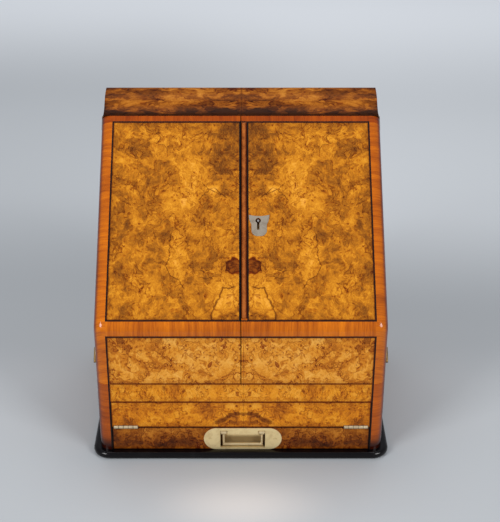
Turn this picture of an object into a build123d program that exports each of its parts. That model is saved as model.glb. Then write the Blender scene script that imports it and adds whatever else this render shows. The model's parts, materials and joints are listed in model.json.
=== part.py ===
"""A slope-front stationery box with two wrap-around doors, a moulded lid and a pull-out writing slope.

Sizes are in millimetres. X runs to the right, Y to the back and Z up, and the origin is under the
middle of the base. Side outlines are drawn in (a, h): a is the distance behind the case's front face
and h is the height above the case's foot, which stands on the base moulding.
"""
from build123d import *
from math import atan2, cos, degrees, radians, sin, tan
import os

# Case
CASE_W = 335.0             # width over the sides
CASE_D = 248.0             # depth, front face to back face
CORNER_R = 12.0            # rounding of the front corners
SIDE_T = 10.0
BACK_T = 8.0
VENEER_T = 0.8
STRING_W = 1.7             # stringing, as seen on the surface
STRING_T = 1.0             # stringing, into the wood
CROSSBAND_W = 13.7         # cross-banded margin outside the stringing

# Base moulding and floor
BASE_H = 9.5
BASE_PROJECTION = 8.5      # beyond the case, all round
NOSE_FLAT = 0.5            # flat left between the two roundings of the moulding's nose
BASE_RING_W = 26.0
FLOOR_T = 7.0

# Flush handle
HANDLE_X = 2.2             # the handle sits a little to the right of the middle
HANDLE_W = 92.0
HANDLE_T = 30.0
HANDLE_PROUD = 0.4
HANDLE_SUNK = 1.6
HANDLE_MARGIN_LOW = 0.1    # of the front below the plate
HANDLE_MARGIN_HIGH = 1.6   # of the front above the plate
RECESS_BELOW = 12.5        # of the recess, below and above the plate's middle
RECESS_ABOVE = 11.5
PAN_DEPTH = 8.0
PAN_WALL = 0.8
LUG_W = 36.0
LUG_H = 5.4
LUG_DEPTH = 4.6
BAIL_PIVOT_DROP = 3.5      # of the bail's axis below the recess's top
BAIL_PIVOT_DEPTH = 2.0
BAIL_PIN_R = 1.0
BAIL_EYE_R = 2.8
BAIL_EYE_L = 6.4
BAIL_SIDE_GAP = 1.3        # from an eye to the lug
BAIL_END_GAP = 0.8         # from an eye to the recess's end
BAIL_FLOOR_GAP = 2.0       # from the hanging bar to the recess's foot
BAIL_LEG_W = 2.4
BAIL_BAR_H = 3.2
BAIL_T = 2.6
BAIL_EDGE_R = 0.7
SCREW_INSET = 7.3          # from a screw to the plate's end
SCREW_HEAD_R = 2.6
SCREW_HEAD_H = 1.4
SCREW_R = 1.2
SCREW_L = 9.0
SCREW_SLOT_W = 0.6

# Writing slope
SLIDE_GAP = 0.5            # between the writing slope and the stiles
SLIDE_TOP_GAP = 0.6
SLIDE_FLOOR_GAP = 0.3
SLIDE_BACK_GAP = 4.0
SPLIT_RISE = 14.0          # rise of the split over the upper leaf's depth
SPLIT_GAP = 0.4
UPPER_LEAF_H = 34.7        # height of the upper leaf's front
REAR_BLOCK_D = 40.0        # full-height wood behind the upper leaf
LEAF_WALL = 8.0
LOWER_FRONT_T = 14.0
UPPER_FRONT_T = 12.0
TRAY_FLOOR_T = 5.0
WRITING_BOARD_T = 4.0
LEATHER_T = 0.6
BOARD_MARGIN = 5.0         # from the writing board to the leaf's edge
SLIDE_HINGE_L = 28.5
SLIDE_HINGE_INSET = 1.85   # from a hinge's end to the leaf's end
SLIDE_HINGE_A = 0.3        # of the axis behind the front face
SLIDE_BARREL_R = 2.2
SLIDE_PIN_R = 1.1
SLIDE_LEAF_W = 10.0

# Front rail and dust board
RAIL_H = 24.7
DUST_BOARD_T = 6.0

# Knee and slope of the front
KNEE_RISE = 74.0           # of the knee's sharp corner above the doors' lower edge
KNEE_R = 19.3
KNEE_BAND_DROP = 10.0      # of the front's string below the knee's sharp corner
SLOPE_ANGLE = 43.0         # from the horizontal

# Lid
LID_END_INSET = 2.0        # from the case's sides
LID_LIP_H = 7.3            # height of the lid's front edge
LID_LEDGE_W = 7.4
OGEE_RUN = 31.0
OGEE_RISE = 15.2
OGEE_END_ANGLE = 12.0      # from the horizontal, at both ends of the ogee
CROWN_RUN = 9.0            # from the ogee to the flat top
CROWN_RISE = 1.6
LID_TOP_W = 6.1
LID_EDGE_R = 1.5
LID_HINGE_L = 28.0
LID_LEAF_W = 6.9
LID_HINGE_X = 105.0

# Doors
DOOR_LINING_GAP = 0.3      # from the doors' inner face to the linings
DOOR_GAP = 0.3             # to the rail below and the lid above
MEETING_GAP = 1.0          # between the two doors
RETURN_DROP = 0.8          # fall of the returns' top edge, per mm inwards
TOP_BAND_W = 7.4           # cross-banding above the slope's upper string

# Butt hinges
JOINT_GAP = 0.5            # between two hinged woods
LEAF_GAP = 0.1             # between the two leaves of a closed hinge
LEAF_T = 1.0
PIN_CLEARANCE = 0.05
BARREL_CLEARANCE = 0.3     # from a barrel to the wood beside it
KNUCKLE_GAP = 0.12
KNUCKLES = 5               # of the writing slope's hinges
SMALL_KNUCKLES = 3         # of the door and lid hinges
HINGE_A = 12.0             # where the doors' slanting hinge line starts
HINGE_RISE = 20.5          # of that place above the doors' lower edge
HINGE_BACK_W = 16.0        # of the case's side behind the hinge line, at the top
HINGE_OUTSET = 0.9         # of a hinge's axis from the face that it stands on
DOOR_HINGE_L = 18.0
DOOR_BARREL_R = 2.0
DOOR_PIN_R = 1.0
DOOR_LEAF_W = 6.5
DOOR_HINGE_INSETS = (1.0, 8.0)  # from the lower and upper ends of the hinge line

# Lock, keyhole and bead
BEAD_W = 6.8
BEAD_PROUD = 2.8
BEAD_FOOT_GAP = 2.0        # from the slope's lower string to the bead
BEAD_TOP_GAP = 0.5         # from the bead to the slope's upper string
BEAD_END_R = 2.4
ESCUTCHEON_S = 124.7       # height of the escutcheon's middle, up the slope
ESCUTCHEON_GAP = 0.3       # from the string beside the bead
ESCUTCHEON_W = 23.8
ESCUTCHEON_H = 26.4
ESCUTCHEON_DIP = 1.5       # of the hollow top edge
ESCUTCHEON_WAIST_W = 17.8
ESCUTCHEON_WAIST_RISE = 1.3
ESCUTCHEON_HEEL_DROP = 7.5
SHOULDER_HOLLOW = 0.9      # sagitta of the shield's hollow shoulders
FOOT_FULLNESS = 2.0        # sagitta of the shield's rounded foot
ESCUTCHEON_PROUD = 0.5
ESCUTCHEON_SUNK = 0.6
KEYHOLE_OFFSET = 1.1       # of the keyhole to the left of the escutcheon's middle
KEYHOLE_RISE = 6.2         # of the keyhole's round end above the escutcheon's middle
KEYHOLE_R = 3.2
KEY_SLOT_W = 2.8
KEY_SLOT_L = 11.4
LOCK_PIN_R = 1.3
LOCK_CASE_H = 40.0
LOCK_CASE_T = 6.5
LOCK_PLATE_T = 1.0         # the lock case's front wall
LOCK_END_WALL = 2.7
BOLT_W = 10.0
BOLT_T = 3.0
BOLT_L = 26.0
BOLT_DROP = 9.4            # of the bolt's middle below the escutcheon's middle
BOLT_CLEARANCE = 0.1
BOLT_SETBACK = 0.3         # of the withdrawn bolt behind the door's edge
BOLT_TRAVEL = 7.0
KEY_SWEEP_R = 11.8
TALON_W = 4.0
TALON_DEPTH = 2.4
STRIKE_T = 1.2
STRIKE_L = 25.0
STRIKE_W = 7.0
STRIKE_CLEARANCE = 0.3

# Inside: linings, letter dividers, pen tray
LINING_T = 5.5
LINING_CLEARANCE = 1.5     # to the doors' inner face
LINING_LID_GAP = 0.3
DIVIDER_T = 5.0
DIVIDER_PITCH = 46.0
DIVIDER_FIRST_A = 96.0
DIVIDER_HEIGHTS = (126.5, 171.5, 216.5)
SCOOP_W = 120.0
SCOOP_DEPTH = 16.0
PARTITION_DROP = 16.0      # of the partition's top below the first divider's
TRAY_A = 14.0
TRAY_H = 22.0
TROUGH_D = 50.0
TROUGH_DEPTH = 14.0
TROUGH_END_R = 12.5
TROUGH_RIB = 8.7           # wood between the trough and an inkwell's well

# Inkwells
INKWELL_MARGIN = 11.0      # from an inkwell to the lining
INKWELL_W = 42.0
INKWELL_BODY_H = 33.0
INKWELL_CHAMFER = 4.0
INKWELL_NECK_R = 13.0
INKWELL_NECK_H = 6.0
INKWELL_BORE_R = 10.5
INKWELL_FLOOR_T = 6.0
WELL_DEPTH = 15.5
WELL_CLEARANCE = 0.3
COLLAR_T = 2.5
COLLAR_LIFT = 0.3          # of the collar above the shoulders
CAP_GAP = 0.3
CAP_RIM_H = 2.4
CAP_RISE = 6.5
CAP_CROWN_R = 7.0
CAP_KNOB_R = 2.2
CAP_KNOB_H = 2.6
CAP_BARREL_R = 2.1
CAP_BARREL_L = 12.0
CAP_PIN_R = 0.9
CAP_HINGE_GAP = 0.4        # from the cap's barrel to the collar

# Worked out from the sizes above: across
HALF_W = CASE_W / 2
FRONT_Y = -CASE_D / 2
STRING_OUT = HALF_W - CROSSBAND_W
STRING_IN = STRING_OUT - STRING_W
INNER_W = HALF_W - SIDE_T
LINING_IN = INNER_W - LINING_T
DOOR_T = SIDE_T - DOOR_LINING_GAP
STILE_D = HINGE_A + JOINT_GAP / 2
SLIDE_HALF_W = STRING_IN - SLIDE_GAP
SLIDE_HINGE_X = SLIDE_HALF_W - SLIDE_HINGE_INSET - SLIDE_HINGE_L / 2
INKWELL_X = LINING_IN - INKWELL_MARGIN - INKWELL_W / 2
TROUGH_HALF_W = INKWELL_X - INKWELL_W / 2 - WELL_CLEARANCE - TROUGH_RIB
BEAD_EDGE_X = MEETING_GAP / 2 + BEAD_W
ESCUTCHEON_X = BEAD_EDGE_X + STRING_W + ESCUTCHEON_GAP + ESCUTCHEON_W / 2
KEYHOLE_X = ESCUTCHEON_X - KEYHOLE_OFFSET
LOCK_CASE_W = BOLT_SETBACK + BOLT_L + BOLT_TRAVEL + LOCK_END_WALL
BAIL_EYE_X = LUG_W / 2 + BAIL_SIDE_GAP + BAIL_EYE_L / 2
RECESS_HALF_W = BAIL_EYE_X + BAIL_EYE_L / 2 + BAIL_END_GAP
SCREW_X = HANDLE_W / 2 - SCREW_INSET

# Worked out: heights, and places from front to back
HANDLE_H = SLIDE_FLOOR_GAP + HANDLE_MARGIN_LOW + HANDLE_T / 2
RECESS_LOW = HANDLE_H - RECESS_BELOW
RECESS_HIGH = HANDLE_H + RECESS_ABOVE
BAIL_PIVOT_H = RECESS_HIGH - BAIL_PIVOT_DROP
BAIL_LOW = RECESS_LOW + BAIL_FLOOR_GAP
SPLIT_H = HANDLE_H + HANDLE_T / 2 + HANDLE_MARGIN_HIGH
SLIDE_TOP = SPLIT_H + SPLIT_GAP / 2 + UPPER_LEAF_H
SLIDE_D = CASE_D - BACK_T - SLIDE_BACK_GAP
UPPER_LEAF_D = SLIDE_D - REAR_BLOCK_D
SPLIT_ANGLE = degrees(atan2(SPLIT_RISE, UPPER_LEAF_D))
RAIL_LOW = SLIDE_TOP + SLIDE_TOP_GAP
RAIL_TOP = RAIL_LOW + RAIL_H
DUST_TOP = RAIL_LOW + DUST_BOARD_T
INKWELL_A = (TRAY_A + DIVIDER_FIRST_A) / 2
INKWELL_TOP = DUST_TOP + TRAY_H - WELL_DEPTH + INKWELL_BODY_H + INKWELL_NECK_H
DOOR_LOW = RAIL_TOP + DOOR_GAP
KNEE_H = DOOR_LOW + KNEE_RISE
KNEE_TANGENT = KNEE_R * tan(radians(90 - SLOPE_ANGLE) / 2)
LID_D = LID_LEDGE_W + OGEE_RUN + CROWN_RUN + LID_TOP_W
SLOPE_L = (CASE_D - LID_D) / cos(radians(SLOPE_ANGLE))
UPPER_STRING_S = SLOPE_L - TOP_BAND_W
CASE_TOP = KNEE_H + SLOPE_L * sin(radians(SLOPE_ANGLE)) - LID_LIP_H
HINGE_H = DOOR_LOW + HINGE_RISE
HINGE_ANGLE = degrees(atan2(CASE_TOP - HINGE_H, CASE_D - HINGE_BACK_W - HINGE_A))
BOLT_S = ESCUTCHEON_S - BOLT_DROP
KEYHOLE_S = ESCUTCHEON_S + KEYHOLE_RISE

# Planes: each has its drawing axes along the face and its normal outwards
FRONT = Plane(origin=(0, FRONT_Y, BASE_H), x_dir=(1, 0, 0), z_dir=(0, -1, 0))
SLOPE = Plane(
    origin=(0, FRONT_Y, BASE_H + KNEE_H),
    x_dir=(1, 0, 0),
    z_dir=(0, -sin(radians(SLOPE_ANGLE)), cos(radians(SLOPE_ANGLE))),
)
SLOPE_SECTION = Plane(origin=SLOPE.origin, x_dir=SLOPE.y_dir, z_dir=(1, 0, 0))
SPLIT = Plane(
    origin=(0, FRONT_Y, BASE_H + SPLIT_H),
    x_dir=(1, 0, 0),
    z_dir=(0, -sin(radians(SPLIT_ANGLE)), cos(radians(SPLIT_ANGLE))),
)


def side_plane(x):
    """The plane of the (a, h) outlines, moved sideways to x."""
    return Plane(origin=(x, FRONT_Y, BASE_H), x_dir=(0, 1, 0), z_dir=(1, 0, 0))


def side_prism(outline, x_low, x_high):
    """A closed (a, h) outline, as a list of corners or a face, carried from x_low to x_high."""
    face = make_face(Polyline(*outline, close=True)) if isinstance(outline, list) else outline
    return extrude(side_plane(x_low) * face, amount=x_high - x_low)


def block(x_span, a_span, h_span):
    """A box between the given limits."""
    spans = (x_span, (a_span[0] + FRONT_Y, a_span[1] + FRONT_Y), (h_span[0] + BASE_H, h_span[1] + BASE_H))
    return Pos(*[(low + high) / 2 for low, high in spans]) * Box(*[high - low for low, high in spans])


def inlay(plane, u_span, v_span, depth_span):
    """A box let into a plane: u and v lie along it, and depth is measured into the wood."""
    spans = (u_span, v_span, (-depth_span[1], -depth_span[0]))
    box = Pos(*[(low + high) / 2 for low, high in spans]) * Box(*[high - low for low, high in spans])
    return plane * box


def on_slope(distance, depth):
    """The (a, h) place at a distance up the slope from the knee, and at a depth under it."""
    angle = radians(SLOPE_ANGLE)
    a = distance * cos(angle) + depth * sin(angle)
    h = KNEE_H + distance * sin(angle) - depth * cos(angle)
    return a, h


def slope_at_height(h, depth):
    """The a at which the slope's face, at a depth under it, reaches the height h."""
    angle = radians(SLOPE_ANGLE)
    return (h - KNEE_H + depth / cos(angle)) / tan(angle)


def slope_height(a, depth):
    """The height at which the slope's face, at a depth under it, reaches a."""
    angle = radians(SLOPE_ANGLE)
    return KNEE_H + a * tan(angle) - depth / cos(angle)


def hinge_line(distance, offset):
    """The (a, h) place along the doors' hinge line, moved to the front by an offset."""
    angle = radians(HINGE_ANGLE)
    a = HINGE_A + distance * cos(angle) - offset * sin(angle)
    h = HINGE_H + distance * sin(angle) + offset * cos(angle)
    return a, h


def hinge_line_at_a(a, offset):
    """The place where the hinge line, moved by an offset, crosses a."""
    start = hinge_line(0, offset)
    return a, start[1] + (a - start[0]) * tan(radians(HINGE_ANGLE))


def hinge_line_at_height(h, offset):
    """The place where the hinge line, moved by an offset, reaches the height h."""
    start = hinge_line(0, offset)
    return start[0] + (h - start[1]) / tan(radians(HINGE_ANGLE)), h


def case_form(inset):
    """The right half of the case's outer form, with its faces moved in by an inset."""
    knee = (inset, slope_height(inset, inset))
    top = (CASE_D, slope_height(CASE_D, inset))
    outline = make_face(Polyline((inset, 0), knee, top, (CASE_D, 0), close=True))
    outline = fillet(outline.vertices().sort_by_distance((*knee, 0))[0], KNEE_R - inset)
    form = side_prism(outline, 0, HALF_W - inset)
    side = form.faces().sort_by(Axis.X)[-1]
    back_y = CASE_D + FRONT_Y
    rounded = [e for e in side.edges() if e.center().Y < back_y - 1 and e.center().Z > BASE_H + 1]
    return fillet(rounded, CORNER_R - inset)


def left_of(part):
    """The same part on the other side of the box."""
    return mirror(part, about=Plane.YZ)


def group(*parts):
    """Separate solids that share one node."""
    return Compound([solid for part in parts for solid in part.solids()])


# Butt hinges -------------------------------------------------------------------------------------

def butt_hinge(length, barrel_r, pin_r, leaf_w, knuckles):
    """A closed butt hinge: its fixed leaf, moving leaf, pin and the two woods' cuts.

    Its axis is Z. The leaves reach towards -X, the moving one on the +Y side.
    """
    pitch = length / knuckles
    root = barrel_r + BARREL_CLEARANCE
    bore = Cylinder(pin_r + PIN_CLEARANCE, length * 2)
    barrel_cut = Pos(0, 0, length / 2) * Cylinder(root, length + 2 * BARREL_CLEARANCE)
    leaves = []
    cuts = []
    for side, first in ((-1, 0), (1, 1)):
        y = side * (LEAF_GAP + LEAF_T) / 2
        leaf = Pos(-(leaf_w + root) / 2, y, length / 2) * Box(leaf_w - root, LEAF_T, length)
        for index in range(first, knuckles, 2):
            z = (index + 0.5) * pitch
            leaf += Pos(0, 0, z) * Cylinder(barrel_r, pitch - KNUCKLE_GAP)
            leaf += Pos(-root / 2, y, z) * Box(root, LEAF_T, pitch - KNUCKLE_GAP)
        leaves.append(leaf - bore)
        depth = LEAF_T + LEAF_GAP / 2
        leaf_cut = Pos(-leaf_w / 2, side * depth / 2, length / 2) * Box(leaf_w, depth, length)
        cuts.append(barrel_cut + leaf_cut)
    pin = Pos(0, 0, length / 2) * Cylinder(pin_r, length)
    return leaves[0], leaves[1], pin, cuts[0], cuts[1]


def place(pieces, plane):
    """Pieces drawn about the origin, carried to a plane."""
    return [plane * piece for piece in pieces]


def join_columns(hinges):
    """Hinges as lists of like pieces: all fixed leaves, all moving leaves, and so on."""
    return [list(column) for column in zip(*hinges)]


def door_hinges():
    """The right door's two hinges, on the slanting line along its return."""
    line_l = (CASE_TOP - DOOR_GAP - HINGE_H) / sin(radians(HINGE_ANGLE))
    direction = (0, -cos(radians(HINGE_ANGLE)), -sin(radians(HINGE_ANGLE)))
    pieces = butt_hinge(DOOR_HINGE_L, DOOR_BARREL_R, DOOR_PIN_R, DOOR_LEAF_W, SMALL_KNUCKLES)
    hinges = []
    for upper_end in (DOOR_HINGE_INSETS[0] + DOOR_HINGE_L, line_l - DOOR_HINGE_INSETS[1]):
        a, h = hinge_line(upper_end, 0)
        origin = (HALF_W + HINGE_OUTSET, FRONT_Y + a, BASE_H + h)
        hinges.append(place(pieces, Plane(origin=origin, x_dir=(1, 0, 0), z_dir=direction)))
    return join_columns(hinges)


def lid_hinges():
    """The lid's two hinges, on the back."""
    pieces = butt_hinge(LID_HINGE_L, DOOR_BARREL_R, DOOR_PIN_R, LID_LEAF_W, SMALL_KNUCKLES)
    hinges = []
    for middle in (-LID_HINGE_X, LID_HINGE_X):
        y = FRONT_Y + CASE_D + HINGE_OUTSET
        origin = (middle - LID_HINGE_L / 2, y, BASE_H + CASE_TOP + JOINT_GAP / 2)
        hinges.append(place(pieces, Plane(origin=origin, x_dir=(0, 1, 0), z_dir=(1, 0, 0))))
    return join_columns(hinges)


def writing_hinges():
    """The two hinges between the writing slope's leaves, with their knuckles in the front."""
    pieces = butt_hinge(SLIDE_HINGE_L, SLIDE_BARREL_R, SLIDE_PIN_R, SLIDE_LEAF_W, KNUCKLES)
    hinges = []
    for middle in (-SLIDE_HINGE_X, SLIDE_HINGE_X):
        origin = SPLIT.from_local_coords((middle + SLIDE_HINGE_L / 2, SLIDE_HINGE_A, 0))
        hinges.append(place(pieces, Plane(origin=origin, x_dir=-SPLIT.y_dir, z_dir=(-1, 0, 0))))
    return join_columns(hinges)


def without(part, cuts):
    """The part less every cut in a list."""
    for cut in cuts:
        part -= cut
    return part


# Case --------------------------------------------------------------------------------------------

def base_moulding():
    """The ebonised ring under the case, with a half-round nose."""
    outline = RectangleRounded(
        CASE_W + 2 * BASE_PROJECTION, CASE_D + 2 * BASE_PROJECTION, CORNER_R + BASE_PROJECTION
    )
    ring = extrude(outline, amount=BASE_H)
    rims = ring.faces().sort_by(Axis.Z)[0].edges() + ring.faces().sort_by(Axis.Z)[-1].edges()
    ring = fillet(rims, (BASE_H - NOSE_FLAT) / 2)
    return ring - Pos(0, 0, BASE_H / 2) * Box(*floor_size(), BASE_H)


def floor_size():
    """Width and depth of the opening that the ring leaves for the floor."""
    lost = 2 * (BASE_RING_W - BASE_PROJECTION)
    return CASE_W - lost, CASE_D - lost


def bottom_board():
    return Pos(0, 0, BASE_H - FLOOR_T / 2) * Box(*floor_size(), FLOOR_T)


def stile():
    """The right corner post beside the writing slope, with its string let in."""
    post = case_form(0) & block((STRING_IN, HALF_W), (0, STILE_D), (0, RAIL_TOP))
    return post - stile_string()


def stile_string():
    return inlay(FRONT, (STRING_IN, STRING_OUT), (0, RAIL_TOP), (0, STRING_T))


def case_side(hinge_cuts):
    """The right side, whose front edge follows the door's return at the joint gap."""
    outline = [
        (STILE_D, 0),
        hinge_line_at_a(STILE_D, -JOINT_GAP / 2),
        hinge_line_at_height(CASE_TOP, -JOINT_GAP / 2),
        (CASE_D, CASE_TOP),
        (CASE_D, 0),
    ]
    return without(side_prism(outline, INNER_W, HALF_W), hinge_cuts)


def back_panel(hinge_cuts):
    panel = block((-INNER_W, INNER_W), (CASE_D - BACK_T, CASE_D), (0, CASE_TOP))
    return without(panel, hinge_cuts)


def slide_guide():
    """The right runner, which fills the case between its side and the writing slope."""
    return block((STRING_IN, INNER_W), (STILE_D, CASE_D - BACK_T), (0, RAIL_LOW))


def dust_board():
    return block((-INNER_W, INNER_W), (STILE_D, CASE_D - BACK_T), (RAIL_LOW, DUST_TOP))


def front_rail():
    return block((-STRING_IN, STRING_IN), (VENEER_T, STILE_D), (RAIL_LOW, RAIL_TOP))


def front_rail_burr():
    return block((-STRING_IN, STRING_IN), (0, VENEER_T), (RAIL_LOW, RAIL_TOP))


def lining():
    """The right inner lining, which follows the slope and carries the lid's front."""
    depth = DOOR_T + LINING_CLEARANCE
    top = CASE_TOP + JOINT_GAP - LINING_LID_GAP
    front = STILE_D + JOINT_GAP
    outline = [
        (front, DUST_TOP),
        (front, slope_height(front, depth)),
        (slope_at_height(top, depth), top),
        (CASE_D - BACK_T, top),
        (CASE_D - BACK_T, DUST_TOP),
    ]
    return side_prism(outline, LINING_IN, INNER_W)


def divider(index):
    """One of the stepped letter dividers, with a shallow scoop in its top."""
    front = DIVIDER_FIRST_A + index * DIVIDER_PITCH
    top = DUST_TOP + DIVIDER_HEIGHTS[index]
    board = block((-LINING_IN, LINING_IN), (front, front + DIVIDER_T), (DUST_TOP, top))
    radius = (SCOOP_W ** 2 / 4 + SCOOP_DEPTH ** 2) / (2 * SCOOP_DEPTH)
    centre_z = BASE_H + top - SCOOP_DEPTH + radius
    centre_y = FRONT_Y + front + DIVIDER_T / 2
    for x in ((-LINING_IN / 2, LINING_IN / 2) if index == 0 else (0,)):
        board -= Pos(x, centre_y, centre_z) * Rot(90, 0, 0) * Cylinder(radius, 2 * DIVIDER_T)
    return board


def rack_partition():
    """The short upright that halves the front letter space."""
    span = (DIVIDER_FIRST_A + DIVIDER_T, DIVIDER_FIRST_A + DIVIDER_PITCH)
    top = DUST_TOP + DIVIDER_HEIGHTS[0] - PARTITION_DROP
    return block((-DIVIDER_T / 2, DIVIDER_T / 2), span, (DUST_TOP, top))


def pen_tray():
    """The tray in the front, with a pen trough between two square inkwell wells."""
    top = DUST_TOP + TRAY_H
    tray = block((-LINING_IN, LINING_IN), (TRAY_A, DIVIDER_FIRST_A), (DUST_TOP, top))
    half_d = TROUGH_D / 2
    trough = block(
        (-TROUGH_HALF_W, TROUGH_HALF_W),
        (INKWELL_A - half_d, INKWELL_A + half_d),
        (top - TROUGH_DEPTH, top + 1),
    )
    ends = trough.edges().filter_by(Axis.Z)
    tray -= fillet(ends, TROUGH_END_R)
    half_w = INKWELL_W / 2 + WELL_CLEARANCE
    for x in (-INKWELL_X, INKWELL_X):
        span = (INKWELL_A - half_w, INKWELL_A + half_w)
        tray -= block((x - half_w, x + half_w), span, (top - WELL_DEPTH, top + 1))
    return tray


# Inkwells ----------------------------------------------------------------------------------------

def cap_axis():
    """The (a, h) place of the caps' hinge axis."""
    a = INKWELL_A + INKWELL_NECK_R + COLLAR_T + CAP_BARREL_R + CAP_HINGE_GAP
    return a, INKWELL_TOP + CAP_GAP / 2


def at_inkwell(x, h):
    return Pos(x, FRONT_Y + INKWELL_A, BASE_H + h)


def inkwell_glass(x):
    """A square glass inkwell with chamfered shoulders, a round neck and a bore."""
    body = Pos(0, 0, INKWELL_BODY_H / 2) * Box(INKWELL_W, INKWELL_W, INKWELL_BODY_H)
    body = chamfer(body.faces().sort_by(Axis.Z)[-1].edges(), INKWELL_CHAMFER)
    total = INKWELL_BODY_H + INKWELL_NECK_H
    body += Pos(0, 0, total / 2) * Cylinder(INKWELL_NECK_R, total)
    body -= Pos(0, 0, (total + INKWELL_FLOOR_T) / 2) * Cylinder(INKWELL_BORE_R, total - INKWELL_FLOOR_T)
    return at_inkwell(x, INKWELL_TOP - total) * body


def cap_knuckle(x, half_span, offset):
    """A knuckle on the cap's hinge axis, at an offset from the inkwell's middle."""
    a, h = cap_axis()
    barrel = Rot(0, 90, 0) * Cylinder(CAP_BARREL_R, 2 * half_span)
    return Pos(x + offset, FRONT_Y + a, BASE_H + h) * barrel


def cap_bore(x):
    a, h = cap_axis()
    rod = Rot(0, 90, 0) * Cylinder(CAP_PIN_R + PIN_CLEARANCE, CAP_BARREL_L * 2)
    return Pos(x, FRONT_Y + a, BASE_H + h) * rod


def inkwell_collar(x):
    """The brass collar on the neck, with the two outer knuckles of its cap's hinge."""
    outer = INKWELL_NECK_R + COLLAR_T
    height = INKWELL_NECK_H - COLLAR_LIFT
    middle = at_inkwell(x, INKWELL_TOP - height / 2)
    ring = middle * Cylinder(outer, height)
    third = CAP_BARREL_L / 3
    a, h = cap_axis()
    for offset in (-third, third):
        half = (third - KNUCKLE_GAP) / 2
        ring += cap_knuckle(x, half, offset)
        span = (x + offset - half, x + offset + half)
        ring += block(span, (INKWELL_A + INKWELL_NECK_R, a), (h - CAP_BARREL_R, INKWELL_TOP))
    ring -= middle * Cylinder(INKWELL_NECK_R, 4 * height)
    return ring - cap_bore(x)


def inkwell_cap(x):
    """The brass cap: a rim, a sloping crown and a knob, with the middle knuckle of its hinge."""
    low = INKWELL_TOP + CAP_GAP
    outer = INKWELL_NECK_R + COLLAR_T
    crown = low + CAP_RIM_H + CAP_RISE
    cap = at_inkwell(x, low + CAP_RIM_H / 2) * Cylinder(outer, CAP_RIM_H)
    cap += at_inkwell(x, crown - CAP_RISE / 2) * Cone(outer, CAP_CROWN_R, CAP_RISE)
    cap += at_inkwell(x, crown + CAP_KNOB_H / 2) * Cylinder(CAP_KNOB_R, CAP_KNOB_H)
    half = (CAP_BARREL_L / 3 - KNUCKLE_GAP) / 2
    a, h = cap_axis()
    cap += cap_knuckle(x, half, 0)
    cap += block((x - half, x + half), (INKWELL_A + INKWELL_NECK_R, a), (low, h + CAP_BARREL_R))
    return cap - cap_bore(x)


def cap_pin(x):
    a, h = cap_axis()
    return Pos(x, FRONT_Y + a, BASE_H + h) * Rot(0, 90, 0) * Cylinder(CAP_PIN_R, CAP_BARREL_L)


# Lid ---------------------------------------------------------------------------------------------

def lid_form():
    """The whole lid: a ledge and an ogee in front, a flat top and a face that follows the doors' top."""
    under = CASE_TOP + JOINT_GAP
    front = on_slope(SLOPE_L, 0)
    front_low = on_slope(SLOPE_L, (front[1] - under) / cos(radians(SLOPE_ANGLE)))
    ledge = (front[0] + LID_LEDGE_W, front[1])
    ogee_end = (ledge[0] + OGEE_RUN, ledge[1] + OGEE_RISE)
    ogee_middle = (ledge[0] + OGEE_RUN / 2, ledge[1] + OGEE_RISE / 2)
    end_angle = radians(OGEE_END_ANGLE)
    middle_angle = 2 * atan2(OGEE_RISE, OGEE_RUN) - end_angle
    crown = (ogee_end[0] + CROWN_RUN, ogee_end[1] + CROWN_RISE)
    edges = Curve() + [
        Line(front_low, front),
        Line(front, ledge),
        TangentArc(ledge, ogee_middle, tangent=(cos(end_angle), sin(end_angle))),
        TangentArc(ogee_middle, ogee_end, tangent=(cos(middle_angle), sin(middle_angle))),
        Line(ogee_end, crown),
        Line(crown, (CASE_D - LID_EDGE_R, crown[1])),
        TangentArc((CASE_D - LID_EDGE_R, crown[1]), (CASE_D, crown[1] - LID_EDGE_R), tangent=(1, 0)),
        Line((CASE_D, crown[1] - LID_EDGE_R), (CASE_D, under)),
        Line((CASE_D, under), front_low),
    ]
    return side_prism(make_face(edges), LID_END_INSET - HALF_W, HALF_W - LID_END_INSET)


def lid_core(form, hinge_cuts):
    return without(form & (Pos(0, 0, -VENEER_T) * form), hinge_cuts)


def lid_burr(form):
    return form - Pos(0, 0, -VENEER_T) * form


# Doors -------------------------------------------------------------------------------------------

def door_blank(hinge_cuts):
    """The right door as one bent board: slope, knee, upright front and the return round the side."""
    return_top = CASE_TOP - DOOR_GAP
    top_s = SLOPE_L - DOOR_GAP
    return_depth = (on_slope(top_s, 0)[1] - return_top) / cos(radians(SLOPE_ANGLE))
    beyond = on_slope(top_s, -DOOR_T)
    outline = [
        (-DOOR_T, DOOR_LOW),
        (HINGE_A - JOINT_GAP / 2, DOOR_LOW),
        hinge_line_at_a(HINGE_A - JOINT_GAP / 2, JOINT_GAP / 2),
        hinge_line_at_height(return_top, JOINT_GAP / 2),
        on_slope(top_s, return_depth),
        beyond,
        (-DOOR_T, beyond[1]),
    ]
    shell = case_form(0) - case_form(DOOR_T)
    door = shell & side_prism(outline, MEETING_GAP / 2, HALF_W)
    bevel_a = on_slope(top_s, return_depth)[0]
    edge_corner = (HALF_W, FRONT_Y + bevel_a, BASE_H + return_top)
    edge_plane = Plane(origin=edge_corner, x_dir=(-1, 0, 0), z_dir=(0, 1, 0))
    reach = SIDE_T + CORNER_R
    corners = [(0, 0), (reach, -RETURN_DROP * reach), (reach, DOOR_T), (0, DOOR_T)]
    bevel = make_face(Polyline(*corners, close=True))
    return without(door - extrude(edge_plane * bevel, amount=CASE_D), hinge_cuts)


def slope_burr(edge):
    """The slope's veneer; the string beside it starts at edge, on the meeting side."""
    span = (KNEE_TANGENT + STRING_W, UPPER_STRING_S - STRING_W)
    return inlay(SLOPE, (edge + STRING_W, STRING_IN), span, (0, VENEER_T))


def front_burr():
    span = (DOOR_LOW, KNEE_H - KNEE_BAND_DROP - STRING_W)
    return inlay(FRONT, (MEETING_GAP / 2, STRING_IN), span, (0, VENEER_T))


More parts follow.
